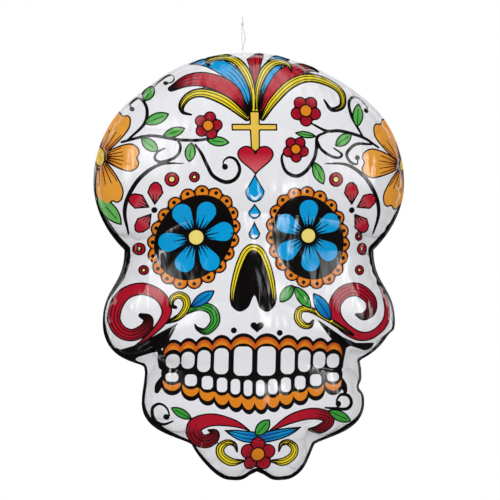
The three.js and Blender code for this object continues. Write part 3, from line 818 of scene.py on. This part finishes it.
def print_cheeks(art, inks):
    """The scrolls, curls and leaves on the cheeks, with the black hollows under them."""
    art.patch(BASE, (
        (-74.5, 269.5), (-113, 291), (-129.5, 296.5), (-143, 292), (-150, 296), (-139, 306), (-122, 311),
        (-111, 304), (-93, 298), (-85, 290)), inks.black)
    art.patch(BASE, (
        (62.4, 265.5), (90, 284), (104, 290), (124, 290), (122, 296), (114, 298), (99, 293), (90, 297),
        (83.4, 292.5), (70.8, 277)), inks.black)
    art.ribbon(LOW, (
        (-119, 295.7, 1), (-104.4, 284.1, 2.6), (-90, 268.4, 4.4), (-86, 256, 5.4), (-93.2, 242.7, 6),
        (-109, 236, 6.3), (-125, 240.5, 6.3), (-134, 252.8, 6.3), (-136.3, 267.3, 6.3), (-130, 278.5, 6.6),
        (-118.5, 281.9, 6.3), (-106.7, 275.2, 6), (-103.8, 266.2, 4.8), (-111, 262.4, 2.5)),
        inks.red, inks.black, 0.75, ruled=3, plain=(0, 0.5))
    art.ribbon(LOW, (
        (127.2, 228.6, 1), (134.5, 243.8, 2.8), (137, 259.5, 3.8), (132.7, 271.8, 4.2), (120.5, 281.9, 4.6),
        (106.6, 283, 5), (92, 275.2, 5.6), (82.5, 264, 6.2), (81.5, 250.5, 6.7), (90.7, 239.4, 7),
        (105.4, 237.1, 7), (118, 246.1, 6.5), (119, 257.3, 5.8), (111.2, 263.5, 4.2), (103.2, 261.7, 1.5)),
        inks.red, inks.black, 0.76, ruled=3, plain=(0, 0.45))
    art.ribbon(LOW, (
        (-83.7, 267.3, 0.9), (-68.3, 259.5, 2.6), (-53.4, 253.5, 4.2), (-41.6, 257.3, 5.2),
        (-38.9, 268.4, 5), (-47, 277.8, 3.8), (-55.5, 275.6, 2.2), (-58.8, 270.7, 0.7)),
        inks.green, inks.black, 0.8, ruled=2)
    art.ribbon(MIDDLE, (
        (-86, 270, 1.2), (-74, 264, 3.2), (-67, 254.5, 4), (-67.5, 246, 4.2), (-74, 242, 3.8),
        (-80.5, 245.5, 3.4), (-81.5, 252, 2.6), (-77, 254.5, 1.6)), inks.yellow, inks.black, 0.88, ruled=2)
    art.ribbon(MIDDLE, (
        (100, 282, 1.8), (86, 273.5, 2.8), (71, 264.5, 3), (57, 257, 3.2), (46.5, 256.5, 3.8),
        (43.5, 264.5, 4.2), (48.5, 271.5, 3.8), (55.5, 272.5, 3), (59, 267.5, 1.4)),
        inks.yellow, inks.black, 0.88, ruled=2)
    for base, tip, half in (((-63, 254.5), (-39, 237.5), 6), ((77.5, 268), (59, 240), 7)):
        art.leaf(HIGH, base, tip, half, inks.dark_blue, inks.blue)
    for base, tip, half in (((39, 232), (25.5, 249.5), 6), ((39.7, 233), (57, 256), 6)):
        art.leaf(HIGH, base, tip, half, inks.green, inks.green)


def print_mouth(art, inks):
    """Two rows of teeth in a black mouth, under and over scalloped orange gums."""
    # Across, width, top and foot of each upper tooth, from the middle out
    uppers = ((11.7, 18, 293, 322), (33, 14, 294.7, 320.5), (50, 12.5, 296.7, 318.4),
              (65.5, 12.5, 298.4, 315.2), (80, 13, 300.7, 314.8))
    for side in (-1, 1):
        for i, (across, width, top, foot) in enumerate(uppers):
            x = side * across + 1
            gum = 283.4 + 1.55 * i
            half = 0.7 * width + 1.6
            art.oval(BASE, (x, gum + 10.4), (half, 14), inks.black)
            art.oval(LOW, (x, gum + 12.5), (half, 14), inks.orange, rim=(inks.dark_orange, 4.2))
            art.oval(MIDDLE, (x, gum + 20.5), (half, 14), inks.black)
            size = (width + 2 * OUTLINE, foot - top + 2 * OUTLINE)
            art.tile(HIGH, (x, (top + foot) / 2), size, 7.2, inks.film)
        for i in np.arange(0.5, 6):
            x = side * (12.2 * i + 0.079 * i**3) + 0.8
            width = 8 + 0.8 * i
            height = 16.2 - 0.7 * i - 0.004 * i**4
            half = 0.7 * width + 1.6
            gum = 361.2 - 1.2 * i - 0.42 * i * i
            for layer, edge, ink in ((BASE, gum, inks.black), (LOW, gum - 3.2, inks.orange),
                                     (MIDDLE, 346.3 - i - 0.3 * i * i, inks.black)):
                art.oval(layer, (x, edge - 11), (half, 11), ink)
            size = (width + 2 * OUTLINE, height + 2 * OUTLINE)
            art.tile(HIGH, (x, 334.8 - 1.05 * i - 0.17 * i * i), size, 5.4, inks.film)
        art.patch(MIDDLE, (
            (0, 296), (side * 36, 298), (side * 84, 304), (side * 89, 316), (side * 86, 326),
            (side * 40, 338), (0, 341)), inks.black)
        art.ribbon(BASE, ((side * 93, 296, 1.5), (side * 90, 303, 3.6), (side * 88, 313, 4)), inks.black)
        art.ribbon(BASE, ((side * 88, 324, 2), (side * 92, 332, 3.4), (side * 94, 338, 2.2)), inks.black)
    for across, down in ((-20.3, 277), (25.3, 279.5)):
        art.dot(HIGH, (across, down), 3, inks.black)
    art.patch(HIGH, heart_corners((2.7, 274), 13.5, 11), inks.black)


def print_chin(art, inks):
    """The scrolls, leaves and curls on the jaw and the chin."""
    art.ribbon(LOW, (
        (-6.7, 376.5, 0.8), (-17.6, 370.6, 3.5), (-28.6, 367.4, 5.2), (-39.5, 365.9, 6.4), (-49.3, 367, 7),
        (-58, 370.9, 7.6), (-61, 377.4, 7.6), (-56.7, 385.9, 7.4), (-49.8, 387.9, 7.2), (-43.3, 384.5, 6.2),
        (-40.8, 379, 4), (-47, 376.3, 1)), inks.red, inks.dark_red, 0.4, ruled=3, plain=(0, 0.5))
    art.ribbon(LOW, (
        (14, 376.9, 1.2), (35.9, 365.3, 4.8), (57.3, 360.1, 6), (73.4, 363, 6), (74.8, 369.4, 5.6),
        (64.7, 376, 5), (54.5, 376, 1.6)), inks.red, inks.dark_red, 0.4, ruled=3, plain=(0, 0.45))
    for wing in (((2, 384, 6), (-12, 382.4, 6), (-22, 379.6, 4), (-31, 376.5, 0.5)),
                 ((6, 384, 5.5), (20, 381, 5.6), (33, 377.8, 4), (46, 373.5, 0.5))):
        art.ribbon(MIDDLE, wing, inks.dark_blue, inks.blue, -0.4, ruled=2)
    art.leaf(HIGH, (-1.5, 382), (14.8, 365.5), 6, inks.green, inks.green)
    for side in (-1, 1):
        curl = ((14.5, 407.5, 1.8), (26, 408.4, 4.4), (35.5, 402.4, 4.4), (37.1, 394.3, 4.2),
                (30.6, 388.8, 3.4), (23.4, 390.5, 2.5), (20.8, 397.8, 1))
        line = [(1 + side * x, v, half) for x, v, half in curl]
        art.ribbon(LOW, line, inks.yellow, inks.black, 0.85, ruled=2)
    art.ribbon(BASE, (
        (-83.2, 362.1, 0.8), (-84.6, 355.6, 1), (-89, 351.2, 1.2), (-94, 350.8, 1.4), (-98.6, 355, 1.5),
        (-99, 362.5, 1.6), (-95.5, 369, 1.6), (-88.8, 371.1, 1.4), (-80, 367.5, 0.7)), inks.black)
    art.ribbon(BASE, (
        (84.1, 347.1, 0.9), (88.9, 341.6, 1.5), (97, 342.8, 1.7), (100, 350, 1.8), (94.5, 355.8, 1.7),
        (81.7, 355.2, 1.5), (72, 354.3, 0.9)), inks.black)
    for across, down in ((-86.2, 363.6), (86, 350.5)):
        art.dot(BASE, (across, down), 3, inks.black)
    for base, tip, half in (((-61.5, 365.5), (-81.5, 353.8), 5), ((74, 357), (99.5, 369), 5.8)):
        art.leaf(MIDDLE, base, tip, half, inks.green, inks.green)


# Materials


def add_node(tree, kind, inputs=None, **settings):
    """Adds a node with its settings, and sets or links its inputs by name or number."""
    made = tree.nodes.new(kind)
    for key, value in settings.items():
        setattr(made, key, value)
    for key, value in (inputs or {}).items():
        if isinstance(value, bpy.types.NodeSocket):
            tree.links.new(value, made.inputs[key])
        else:
            made.inputs[key].default_value = value
    return made


def start_material(name, **sockets):
    """Makes a material whose shader has the given constants on its own sockets."""
    material = bpy.data.materials.new(name)
    material.use_nodes = True
    shader = material.node_tree.nodes["Principled BSDF"]
    for key, value in sockets.items():
        shader.inputs[key.replace("_", " ")].default_value = value
    return material, material.node_tree, shader


def dress(node, material):
    """Puts a material in every slot of a node's object."""
    data = bpy.data.objects[node].data
    if not data.materials:
        data.materials.append(material)
    for k in range(len(data.materials)):
        data.materials[k] = material


def add_grain(tree, shader, size, detail, dark, light):
    """Mottles a material between two tones, in grains of a size in mm; gives the grain's height."""
    place = add_node(tree, "ShaderNodeTexCoord")
    grain = add_node(tree, "ShaderNodeTexNoise", {
        "Vector": place.outputs["Object"], "Scale": 1 / (size * MM), "Detail": detail})
    tone = add_node(tree, "ShaderNodeValToRGB", {"Fac": grain.outputs[0]})
    for stop, colour in zip(tone.color_ramp.elements, (dark, light)):
        stop.color = (*colour, 1)
    tree.links.new(tone.outputs["Color"], shader.inputs["Base Color"])
    return grain.outputs[0]


def add_film_waves(tree, shader, depth):
    """Waves of stretched film, 15 by 45 mm, with ripples of 9 by 30 mm, seen in the gloss."""
    place = add_node(tree, "ShaderNodeTexCoord")
    height = 0.0
    for width, length, share in ((15, 45, 1.0), (9, 30, 0.25)):
        scale = (1 / (width * MM), 1 / (width * MM), 1 / (length * MM))
        drawn = add_node(tree, "ShaderNodeMapping", {"Vector": place.outputs["Object"], "Scale": scale})
        waves = add_node(tree, "ShaderNodeTexNoise", {
            "Vector": drawn.outputs[0], "Scale": 1.0, "Detail": 0.5, "Roughness": 0.4, "Distortion": 0.6})
        height = add_node(tree, "ShaderNodeMath", {
            0: waves.outputs[0], 1: share, 2: height}, operation="MULTIPLY_ADD").outputs[0]
    bump = add_node(tree, "ShaderNodeBump", {"Strength": 1.0, "Distance": depth, "Height": height})
    tree.links.new(bump.outputs["Normal"], shader.inputs["Normal"])
    haze = add_node(tree, "ShaderNodeMapRange", {
        "Value": height, "From Min": 0.45, "From Max": 0.95, "To Min": 0.11, "To Max": 0.2})
    tree.links.new(haze.outputs["Result"], shader.inputs["Roughness"])


FILM_WAVE, TAB_WAVE = 0.0017, 0.0001  # heights of the waves in metres
MIX_BELOW, MIX_ABOVE, MIX_RESULT = 6, 7, 2  # a mix node's sockets for colours


def printed_film(name, inks, layers):
    """Gloss PVC film, screen printed: each layer's shapes are inked inside a black outline."""
    material, tree, shader = start_material(name, IOR=1.52)
    black = (*inks.black, 1)
    colour = (*inks.film, 1)
    for layer in range(layers):
        ink = add_node(tree, "ShaderNodeAttribute", attribute_name=f"ink_{layer}")
        level = ink.outputs["Alpha"]
        body = EDGE if layer == BARE else EDGE + OUTLINE / (2 * FAR)
        coats = [(level, body - EDGE_BLUR, body + EDGE_BLUR, ink.outputs["Color"])]
        if layer != BARE:
            coats.insert(0, (level, EDGE - EDGE_BLUR, EDGE + EDGE_BLUR, black))
        if layer == TOP:
            lines = add_node(tree, "ShaderNodeAttribute", attribute_name="ruled")
            away = add_node(tree, "ShaderNodeMath", {0: lines.outputs["Fac"]}, operation="ABSOLUTE")
            coats.append((away.outputs[0], RULE_HALF + RULE_BLUR, RULE_HALF - RULE_BLUR, black))
        for value, bare, inked, coat in coats:
            share = add_node(tree, "ShaderNodeMapRange", {
                "Value": value, "From Min": bare, "From Max": inked})
            mix = add_node(tree, "ShaderNodeMix", {
                0: share.outputs["Result"], MIX_BELOW: colour, MIX_ABOVE: coat}, data_type="RGBA")
            colour = mix.outputs[MIX_RESULT]
    tree.links.new(colour, shader.inputs["Base Color"])
    add_film_waves(tree, shader, FILM_WAVE)
    return material


# Shaping of the panels


def select_only(obj):
    """Makes an object the only selected and the active one."""
    bpy.ops.object.select_all(action="DESELECT")
    obj.select_set(True)
    bpy.context.view_layer.objects.active = obj


def read_vectors(items, key):
    """The named vectors of a mesh's items, as rows."""
    flat = np.empty(len(items) * 3, np.float32)
    items.foreach_get(key, flat)
    return flat.reshape(-1, 3)


def panel_sheet(name, side, rows, columns, sizes):
    """Lays a grid over one panel: rows down the face, columns from rim to rim, then the flat weld."""
    weld = sizes.rim_weld / MM
    edge, inset = rim_rows(rows + 1, weld)
    bpy.ops.object.select_all(action="DESELECT")
    half = columns + WELD_COLUMNS
    bpy.ops.mesh.primitive_grid_add(x_subdivisions=2 * half, y_subdivisions=rows, size=2)
    panel = bpy.context.object
    panel.name = panel.data.name = name
    mesh = panel.data
    grid = read_vectors(mesh.vertices, "co")
    row = np.rint((1 - grid[:, 1]) / 2 * rows).astype(int)
    column = np.rint(np.abs(grid[:, 0]) * half).astype(int)
    out = np.clip(column / columns, 0, 1)
    share = 1 - (1 - out) ** CROWDING
    past = np.clip((column - columns) / WELD_COLUMNS, 0, 1)
    right = np.sign(grid[:, 0]) * -side  # the back panel's grid is seen from behind
    depth = swell(inset[:, 1], sizes, weld)[row] * np.sqrt(np.clip(1 - share**2, 0, 1))
    x = right * ((1 - past) * inset[row, 0] * share + past * edge[row, 0])
    z = (1 - past) * inset[row, 1] + past * edge[row, 1]
    z += lift_notch(x, z)
    x, z = settle(x, z)
    place = np.stack([SKULL_X + x, side * (SHEET_Y + depth), CROWN_Z + z], axis=1) * MM
    mesh.vertices.foreach_set("co", place.astype(np.float32).ravel())
    mesh.update()
    bpy.ops.object.mode_set(mode="EDIT")
    bpy.ops.mesh.select_all(action="SELECT")
    bpy.ops.mesh.remove_doubles(threshold=1e-6)
    bpy.ops.object.mode_set(mode="OBJECT")
    bpy.ops.object.shade_smooth()
    return panel, edge


def points_of(mesh):
    """Places of a mesh's points in mm, measured from the skull's crown."""
    return read_vectors(mesh.vertices, "co").astype(float) / MM - (SKULL_X, 0, CROWN_Z)


def crease(mesh, edge, sizes, valve_reach, seed):
    """Draws a panel in where it creases, but not as far as the weld, nor within reach of its valve."""
    normals = read_vectors(mesh.vertex_normals, "vector")
    points = points_of(mesh)
    across, down = points[:, 0] / UNIT, -points[:, 2] / UNIT
    depth = sizes.crease_share * crease_depth(across, down)
    depth += fold_depth(across, down, edge, sizes.gather_count, seed)
    from_valve = np.hypot(points[:, 0], points[:, 2] + CRANIUM_RISE)
    depth *= smoothstep(from_valve, valve_reach - VALVE_FADE, valve_reach)
    depth = np.minimum(depth, CREASE_LIMIT * (np.abs(points[:, 1]) - SHEET_Y))
    moved = points + (SKULL_X, 0, CROWN_Z) - normals * depth[:, None]
    mesh.vertices.foreach_set("co", (moved * MM).astype(np.float32).ravel())
    mesh.update()


RIM_DEPTH = 62  # points further than this from the joint of the panels aren't near the rim, in mm
BATCH = 4000  # points that are measured at a time


def rim_gap(points, edge):
    """Distance from each point to the cut edge, seen from the front, in mm."""
    lifted = edge[:, 1] + lift_notch(edge[:, 0], edge[:, 1])
    rim = np.hstack([settle(edge[:, 0], lifted), settle(-edge[:, 0], lifted)]).T
    gap = np.full(len(points), FAR * UNIT)
    close = np.flatnonzero(np.abs(points[:, 1]) < RIM_DEPTH)
    for start in range(0, len(close), BATCH):
        batch = close[start:start + BATCH]
        spots = points[batch]
        away = np.hypot(spots[:, 0, None] - rim[:, 0], spots[:, 2, None] - rim[:, 1])
        gap[batch] = np.minimum(away.min(axis=1), FAR * UNIT)
    return gap


def border_gap(points, edge):
    """Gap to the black border along the rim, in print units: negative inside it."""
    width = np.interp(-points[:, 2] / UNIT, *np.transpose(BORDER))
    return rim_gap(points, edge) / UNIT - width


def store_ink(mesh, layer, ink, gap):
    """Keeps a layer's ink for each point of a mesh, with its gap to the nearest shape as the alpha."""
    level = EDGE - np.clip(gap, -FAR, FAR) / (2 * FAR)
    rows = np.column_stack([np.broadcast_to(ink, (len(gap), 3)), level])
    attribute = mesh.attributes.new(f"ink_{layer}", "FLOAT_COLOR", "POINT")
    attribute.data.foreach_set("color", rows.astype(np.float32).ravel())


def apply_modifier(obj, name, kind, **settings):
    """Gives an object a modifier with its settings, and applies it."""
    select_only(obj)
    modifier = obj.modifiers.new(name, kind)
    for key, value in settings.items():
        setattr(modifier, key, value)
    bpy.ops.object.modifier_apply(modifier=modifier.name)


# Stage


def aim(thing, target):
    """Turns a lamp or a camera towards a point."""
    thing.rotation_euler = (target - thing.location).to_track_quat("-Z", "Y").to_euler()


def soften_lamp(tree):
    """Fades a lamp from its middle to its edges, as the cloth of a softbox does."""
    place = add_node(tree, "ShaderNodeNewGeometry")
    spread = add_node(tree, "ShaderNodeSeparateXYZ", {"Vector": place.outputs["Parametric"]})
    strength = 36.0  # makes the mean over the lamp 1
    for axis in ("X", "Y"):
        rest = add_node(tree, "ShaderNodeMath", {0: 1.0, 1: spread.outputs[axis]}, operation="SUBTRACT")
        fade = add_node(tree, "ShaderNodeMath", {
            0: spread.outputs[axis], 1: rest.outputs[0]}, operation="MULTIPLY")
        strength = add_node(tree, "ShaderNodeMath", {
            0: fade.outputs[0], 1: strength}, operation="MULTIPLY").outputs[0]
    tree.links.new(strength, tree.nodes["Emission"].inputs["Strength"])


class SKULL_OT_stage(bpy.types.Operator):
    """Set up the camera, the soft studio light, the floor and the white background"""

    bl_idname = "skull.stage"
    bl_label = "Stage"

    def execute(self, context):
        scene = context.scene
        scene.view_settings.view_transform = "Standard"
        way = Vector((math.sin(CAMERA_TURN), -math.cos(CAMERA_TURN), 0))
        bpy.ops.object.camera_add(location=CAMERA_TARGET + CAMERA_DISTANCE * way)
        camera = context.object
        aim(camera, CAMERA_TARGET)
        camera.data.lens = CAMERA_LENS
        camera.data.clip_end = 50
        scene.camera = camera
        for name, place, width, height, power in LAMPS:
            bpy.ops.object.light_add(type="AREA", location=place)
            lamp = context.object
            lamp.name = name
            lamp.data.shape = "RECTANGLE"
            lamp.data.size = width
            lamp.data.size_y = height
            lamp.data.energy = power
            lamp.visible_camera = False
            lamp.visible_glossy = place[1] < 0  # the lamp behind the skull isn't mirrored in its rim
            lamp.data.use_nodes = True
            soften_lamp(lamp.data.node_tree)
            aim(lamp, CAMERA_TARGET)
        bpy.ops.mesh.primitive_plane_add(size=FLOOR_SIZE, location=(0, 0, FLOOR_Z))
        floor = context.object
        floor.name = "studio_floor"
        paint, _, _ = start_material(
            "Matt studio floor, painted", Base_Color=(*to_linear("#F2F2F2"), 1), Roughness=0.8)
        floor.data.materials.append(paint)
        # Dark cards that only the gloss of the film shows
        card, _, _ = start_material(
            "Matt dark card, studio flag", Base_Color=(*to_linear("#3A3838"), 1), Roughness=0.9)
        for name, place, turn in FLAGS:
            bpy.ops.mesh.primitive_plane_add(size=FLAG_SIZE, location=place, rotation=turn)
            flag = context.object
            flag.name = name
            flag.data.materials.append(card)
            flag.visible_camera = False
            flag.visible_diffuse = False
            flag.visible_shadow = False
            flag.visible_transmission = False
        # The room is white where it is seen, and gives less light than that
        world = bpy.data.worlds.new("White studio")
        world.use_nodes = True
        tree = world.node_tree
        path = add_node(tree, "ShaderNodeLightPath")
        seen = path.outputs["Is Camera Ray"]
        for kind in ("Is Glossy Ray", "Is Transmission Ray"):
            either = add_node(tree, "ShaderNodeMath", {0: seen, 1: path.outputs[kind]}, operation="MAXIMUM")
            seen = either.outputs[0]
        level = add_node(tree, "ShaderNodeMapRange", {"Value": seen, "To Min": ROOM_LIGHT, "To Max": 1.0})
        back = tree.nodes["Background"]
        back.inputs["Color"].default_value = (1, 1, 1, 1)
        tree.links.new(level.outputs["Result"], back.inputs["Strength"])
        scene.world = world
        return {"FINISHED"}


# Cord


def twisted_cord(name, points, diameter):
    """A twisted cord along a smooth line through points in mm; gives the object and its centreline."""
    line = smooth_line(points, steps=12)
    along = distance_along(line)
    count = int(along[-1] / CORD_STEP)
    at = np.linspace(0, along[-1], count)
    path = np.stack([np.interp(at, along, line[:, k]) for k in range(3)], axis=1)
    sides = CORD_SIDES
    verts, faces = [], []
    up = Vector((1, 0.2, 0.1))  # any way that isn't along the cord
    for k, point in enumerate(path):
        way = Vector(path[min(k + 1, count - 1)] - path[max(k - 1, 0)]).normalized()
        up = (up - up.dot(way) * way).normalized()
        other = way.cross(up)
        twist = 2 * math.pi * at[k] / CORD_LAY
        for s in range(sides):
            turn = 2 * math.pi * s / sides
            strand = abs(math.cos(STRANDS / 2 * (turn - twist)))
            radius = diameter / MM / 2 * (1 - CORD_GROOVE + CORD_GROOVE * strand)
            spot = Vector(point) + radius * (math.cos(turn) * up + math.sin(turn) * other)
            verts.append(spot * MM)
    for k in range(count - 1):
        for s in range(sides):
            a, b = k * sides + s, k * sides + (s + 1) % sides
            faces.append((a, b, b + sides, a + sides))
    faces.append(tuple(range(sides))[::-1])
    faces.append(tuple((count - 1) * sides + s for s in range(sides)))
    mesh = bpy.data.meshes.new(name)
    mesh.from_pydata(verts, [], faces)
    cord = bpy.data.objects.new(name, mesh)
    bpy.context.collection.objects.link(cord)
    select_only(cord)
    bpy.ops.object.shade_smooth()
    return cord, path * MM


class SKULL_OT_cord(bpy.types.Operator):
    """Lay the cord: its eye and knot, and the loop through the tab"""

    bl_idname = "skull.cord"
    bl_label = "Cord"

    def execute(self, context):
        sizes, inks = context.scene.skull_sizes, context.scene.skull_inks
        # Twisted nylon: dull, with fibres that catch a little light along the strands
        material, tree, shader = start_material(
            "Nylon cord, three strands twisted", Roughness=0.62, Sheen_Weight=0.2)
        shaded = [0.85 * part for part in inks.cord]
        add_grain(tree, shader, 0.2, 2.0, shaded, inks.cord)

        bend = [(0, LOOP_BEND_Y - LOOP_BEND * math.cos(turn), LOOP_BEND_Z - LOOP_BEND * math.sin(turn))
                for turn in np.linspace(0, math.pi, 5)]
        loop_points = (
            (-0.8, 0, -9.95), (-0.8, 0, -12.7), (-0.8, -0.625, -25.03), (-0.4, -1.25, -34.95), *bend,
            (1.6, 3.55, -34.95), (3.2, 1.775, -25.03), (0.8, 0, -12.7), (0.8, 0, -9.95))
        loop, path = twisted_cord("twisted_loop", loop_points, sizes.cord_diameter)
        loop.data.materials.append(material)
        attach(loop, "strands")
        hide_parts("cord_loop")

        eye_points = [
            (0, -0.7, -9.4), (0, -0.7, -6.6), (0, -1.5, -4.4), (0, -2.2, -2), (0, -1.5, -0.05), (0, 0, 0.6),
            (0, 1.5, -0.05), (0, 2.2, -2), (0, 1.6, -4.4), (0.35, 1.35, -6.1)]
        for k in range(1, KNOT_TURNS * KNOT_POINTS + 1):
            turn = math.pi / 2 - 2 * math.pi * k / KNOT_POINTS
            z = KNOT_TOP - KNOT_PITCH * min(k / KNOT_POINTS, KNOT_TURNS - 1)
            eye_points.append((KNOT_RADIUS * math.cos(turn), KNOT_RADIUS * math.sin(turn), z))
        eye, path = twisted_cord("twisted_eye", eye_points, sizes.cord_diameter)
        eye.data.materials.append(material)
        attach(eye, "hanger")
        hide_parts("cord_eye", "cord_knot")
        return {"FINISHED"}


# Panels and fittings


class SKULL_OT_front_panel(bpy.types.Operator):
    """Shape and print the front panel"""

    bl_idname = "skull.front_panel"
    bl_label = "Front panel"

    def execute(self, context):
        sizes, inks = context.scene.skull_sizes, context.scene.skull_inks
        panel, edge = panel_sheet("printed_face", -1, FRONT_ROWS, FRONT_COLUMNS, sizes)
        mesh = panel.data
        crease(mesh, edge, sizes, valve_reach=0, seed=11)
        points = points_of(mesh)
        across, down = points[:, 0] / UNIT, -points[:, 2] / UNIT
        lean = 5 * smoothstep(down, 340, 400)  # the print on the chin sits to the right
        art = PrintedFace(across - lean, down)
        for draw in (print_feathers, print_flowers_and_vines, print_cross_and_drops, print_marigolds,
                     print_temples, print_eyes, print_nose, print_cheeks, print_mouth, print_chin):
            draw(art, inks)
        art.gap[BASE] = np.minimum(art.gap[BASE], border_gap(points, edge))
        for layer in range(LAYERS):
            store_ink(mesh, layer, art.ink[layer], art.gap[layer])
        ruled = mesh.attributes.new("ruled", "FLOAT", "POINT")
        ruled.data.foreach_set("value", art.lines.astype(np.float32))
        apply_modifier(panel, "Film", "SOLIDIFY", thickness=sizes.film, offset=-1)
        panel.data.materials.append(printed_film("PVC film, gloss, screen printed", inks, LAYERS))
        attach(panel, "skull")
        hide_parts("front_panel")
        return {"FINISHED"}


class SKULL_OT_back_panel(bpy.types.Operator):
    """Shape the plain back panel and cut the hole for its valve"""

    bl_idname = "skull.back_panel"
    bl_label = "Back panel"

    def execute(self, context):
        sizes, inks = context.scene.skull_sizes, context.scene.skull_inks
        panel, edge = panel_sheet("plain_back", 1, BACK_ROWS, BACK_COLUMNS, sizes)
        mesh = panel.data
        crease(mesh, edge, sizes, valve_reach=45, seed=23)
        store_ink(mesh, BASE, inks.black, border_gap(points_of(mesh), edge))
        apply_modifier(panel, "Film", "SOLIDIFY", thickness=sizes.film, offset=-1)
        bpy.ops.mesh.primitive_cylinder_add(
            vertices=48, radius=sizes.valve_hole, depth=0.06, rotation=(math.pi / 2, 0, 0),
            location=(SKULL_X * MM, sizes.cranium_depth, (CROWN_Z - CRANIUM_RISE) * MM))
        punch = bpy.context.object
        apply_modifier(panel, "Valve hole", "BOOLEAN", operation="DIFFERENCE", solver="EXACT", object=punch)
        bpy.data.objects.remove(punch)
        panel.data.materials.append(printed_film("PVC film, gloss, white back", inks, layers=1))
        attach(panel, "skull")
        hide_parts("back_panel")
        return {"FINISHED"}


def bent_strap(name, low, high, wall):
    """A flat strap bent back on itself to fill a box: a leg, a half turn and another leg."""
    leg = (high.y - low.y - wall) / 2
    middle = (low + high) / 2
    bpy.ops.object.select_all(action="DESELECT")
    bpy.ops.mesh.primitive_plane_add(
        size=1, location=(low.x, low.y + wall / 2, middle.z), rotation=(0, math.pi / 2, 0))
    strap = bpy.context.object
    strap.name = strap.data.name = name
    bpy.ops.object.mode_set(mode="EDIT")
    bpy.ops.transform.resize(value=(1, wall, high.z - low.z))
    bpy.ops.mesh.extrude_region_move(TRANSFORM_OT_translate={"value": (leg, 0, 0)})
    bpy.ops.mesh.spin(
        steps=24, angle=-math.pi, center=(low.x + leg, middle.y, middle.z), axis=(0, 0, 1))
    bpy.ops.mesh.extrude_region_move(TRANSFORM_OT_translate={"value": (-leg, 0, 0)})
    bpy.ops.mesh.select_all(action="SELECT")
    bpy.ops.mesh.normals_make_consistent(inside=False)
    bpy.ops.object.mode_set(mode="OBJECT")
    bpy.ops.object.transform_apply(location=True, rotation=True, scale=True)
    bpy.ops.object.shade_smooth()
    apply_modifier(strap, "Eased edges", "BEVEL", width=STRAP_EASE * MM, segments=2)
    return strap


class SKULL_OT_fittings(bpy.types.Operator):
    """Finish the clear tab and the moulded air valve, and bend the strap of its cap"""

    bl_idname = "skull.fittings"
    bl_label = "Tab and valve"

    def execute(self, context):
        # Clear PVC sheet: smooth, and slightly wavy
        clear, tree, shader = start_material(
            "PVC sheet, clear, die cut", Base_Color=(*to_linear("#EEF1F2"), 1), IOR=1.52,
            Transmission_Weight=0.75)
        add_film_waves(tree, shader, TAB_WAVE)
        for node in ("hanging_tab", "valve_flap"):
            dress(node, clear)
        # Soft moulded PVC: milky, with the fine grain of its mould
        moulded, tree, shader = start_material(
            "Soft PVC, moulded, milky", IOR=1.5, Subsurface_Weight=0.15,
            Subsurface_Radius=(0.002, 0.002, 0.0018))
        grain = add_grain(tree, shader, 1.1, 3.0, to_linear("#E6E5E0"), to_linear("#F2F1EC"))
        bump = add_node(tree, "ShaderNodeBump", {"Strength": 0.4, "Distance": 0.0001, "Height": grain})
        tree.links.new(bump.outputs["Normal"], shader.inputs["Normal"])
        for node in ("valve_base", "valve_stem", "valve_cap"):
            dress(node, moulded)
        low, high = (Vector(corner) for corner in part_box("cap_strap"))
        strap = bent_strap("bending_strap", low, high, STRAP_WALL * MM)
        strap.data.materials.append(moulded)
        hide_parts("cap_strap")
        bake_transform(strap)
        return {"FINISHED"}


# Sidebar and start


class SKULL_PT_sidebar(bpy.types.Panel):
    """Lists the build steps, sizes and inks in the sidebar"""

    bl_idname = "SKULL_PT_sidebar"
    bl_label = "Sugar Skull"
    bl_space_type = "VIEW_3D"
    bl_region_type = "UI"
    bl_category = "Sugar Skull"

    def draw(self, context):
        for step in STEPS:
            self.layout.operator(step.bl_idname)
        for group in (context.scene.skull_sizes, context.scene.skull_inks):
            box = self.layout.box()
            for key in group.__annotations__:
                box.prop(group, key)


STEPS = (SKULL_OT_stage, SKULL_OT_cord, SKULL_OT_front_panel, SKULL_OT_back_panel, SKULL_OT_fittings)
CLASSES = (SkullSizes, SkullInks, *STEPS, SKULL_PT_sidebar)


def register():
    """Registers the classes and keeps the settings on the scene."""
    for kind in CLASSES:
        bpy.utils.register_class(kind)
    bpy.types.Scene.skull_sizes = bpy.props.PointerProperty(type=SkullSizes)
    bpy.types.Scene.skull_inks = bpy.props.PointerProperty(type=SkullInks)


def unregister():
    """Takes the settings and the classes away again."""
    del bpy.types.Scene.skull_inks
    del bpy.types.Scene.skull_sizes
    for kind in reversed(CLASSES):
        bpy.utils.unregister_class(kind)


def main():
    """Builds the whole object on its stage."""
    register()
    bpy.ops.skull.stage()
    bpy.ops.skull.cord()
    bpy.ops.skull.front_panel()
    bpy.ops.skull.back_panel()
    bpy.ops.skull.fittings()


if __name__ == "__main__":
    main()
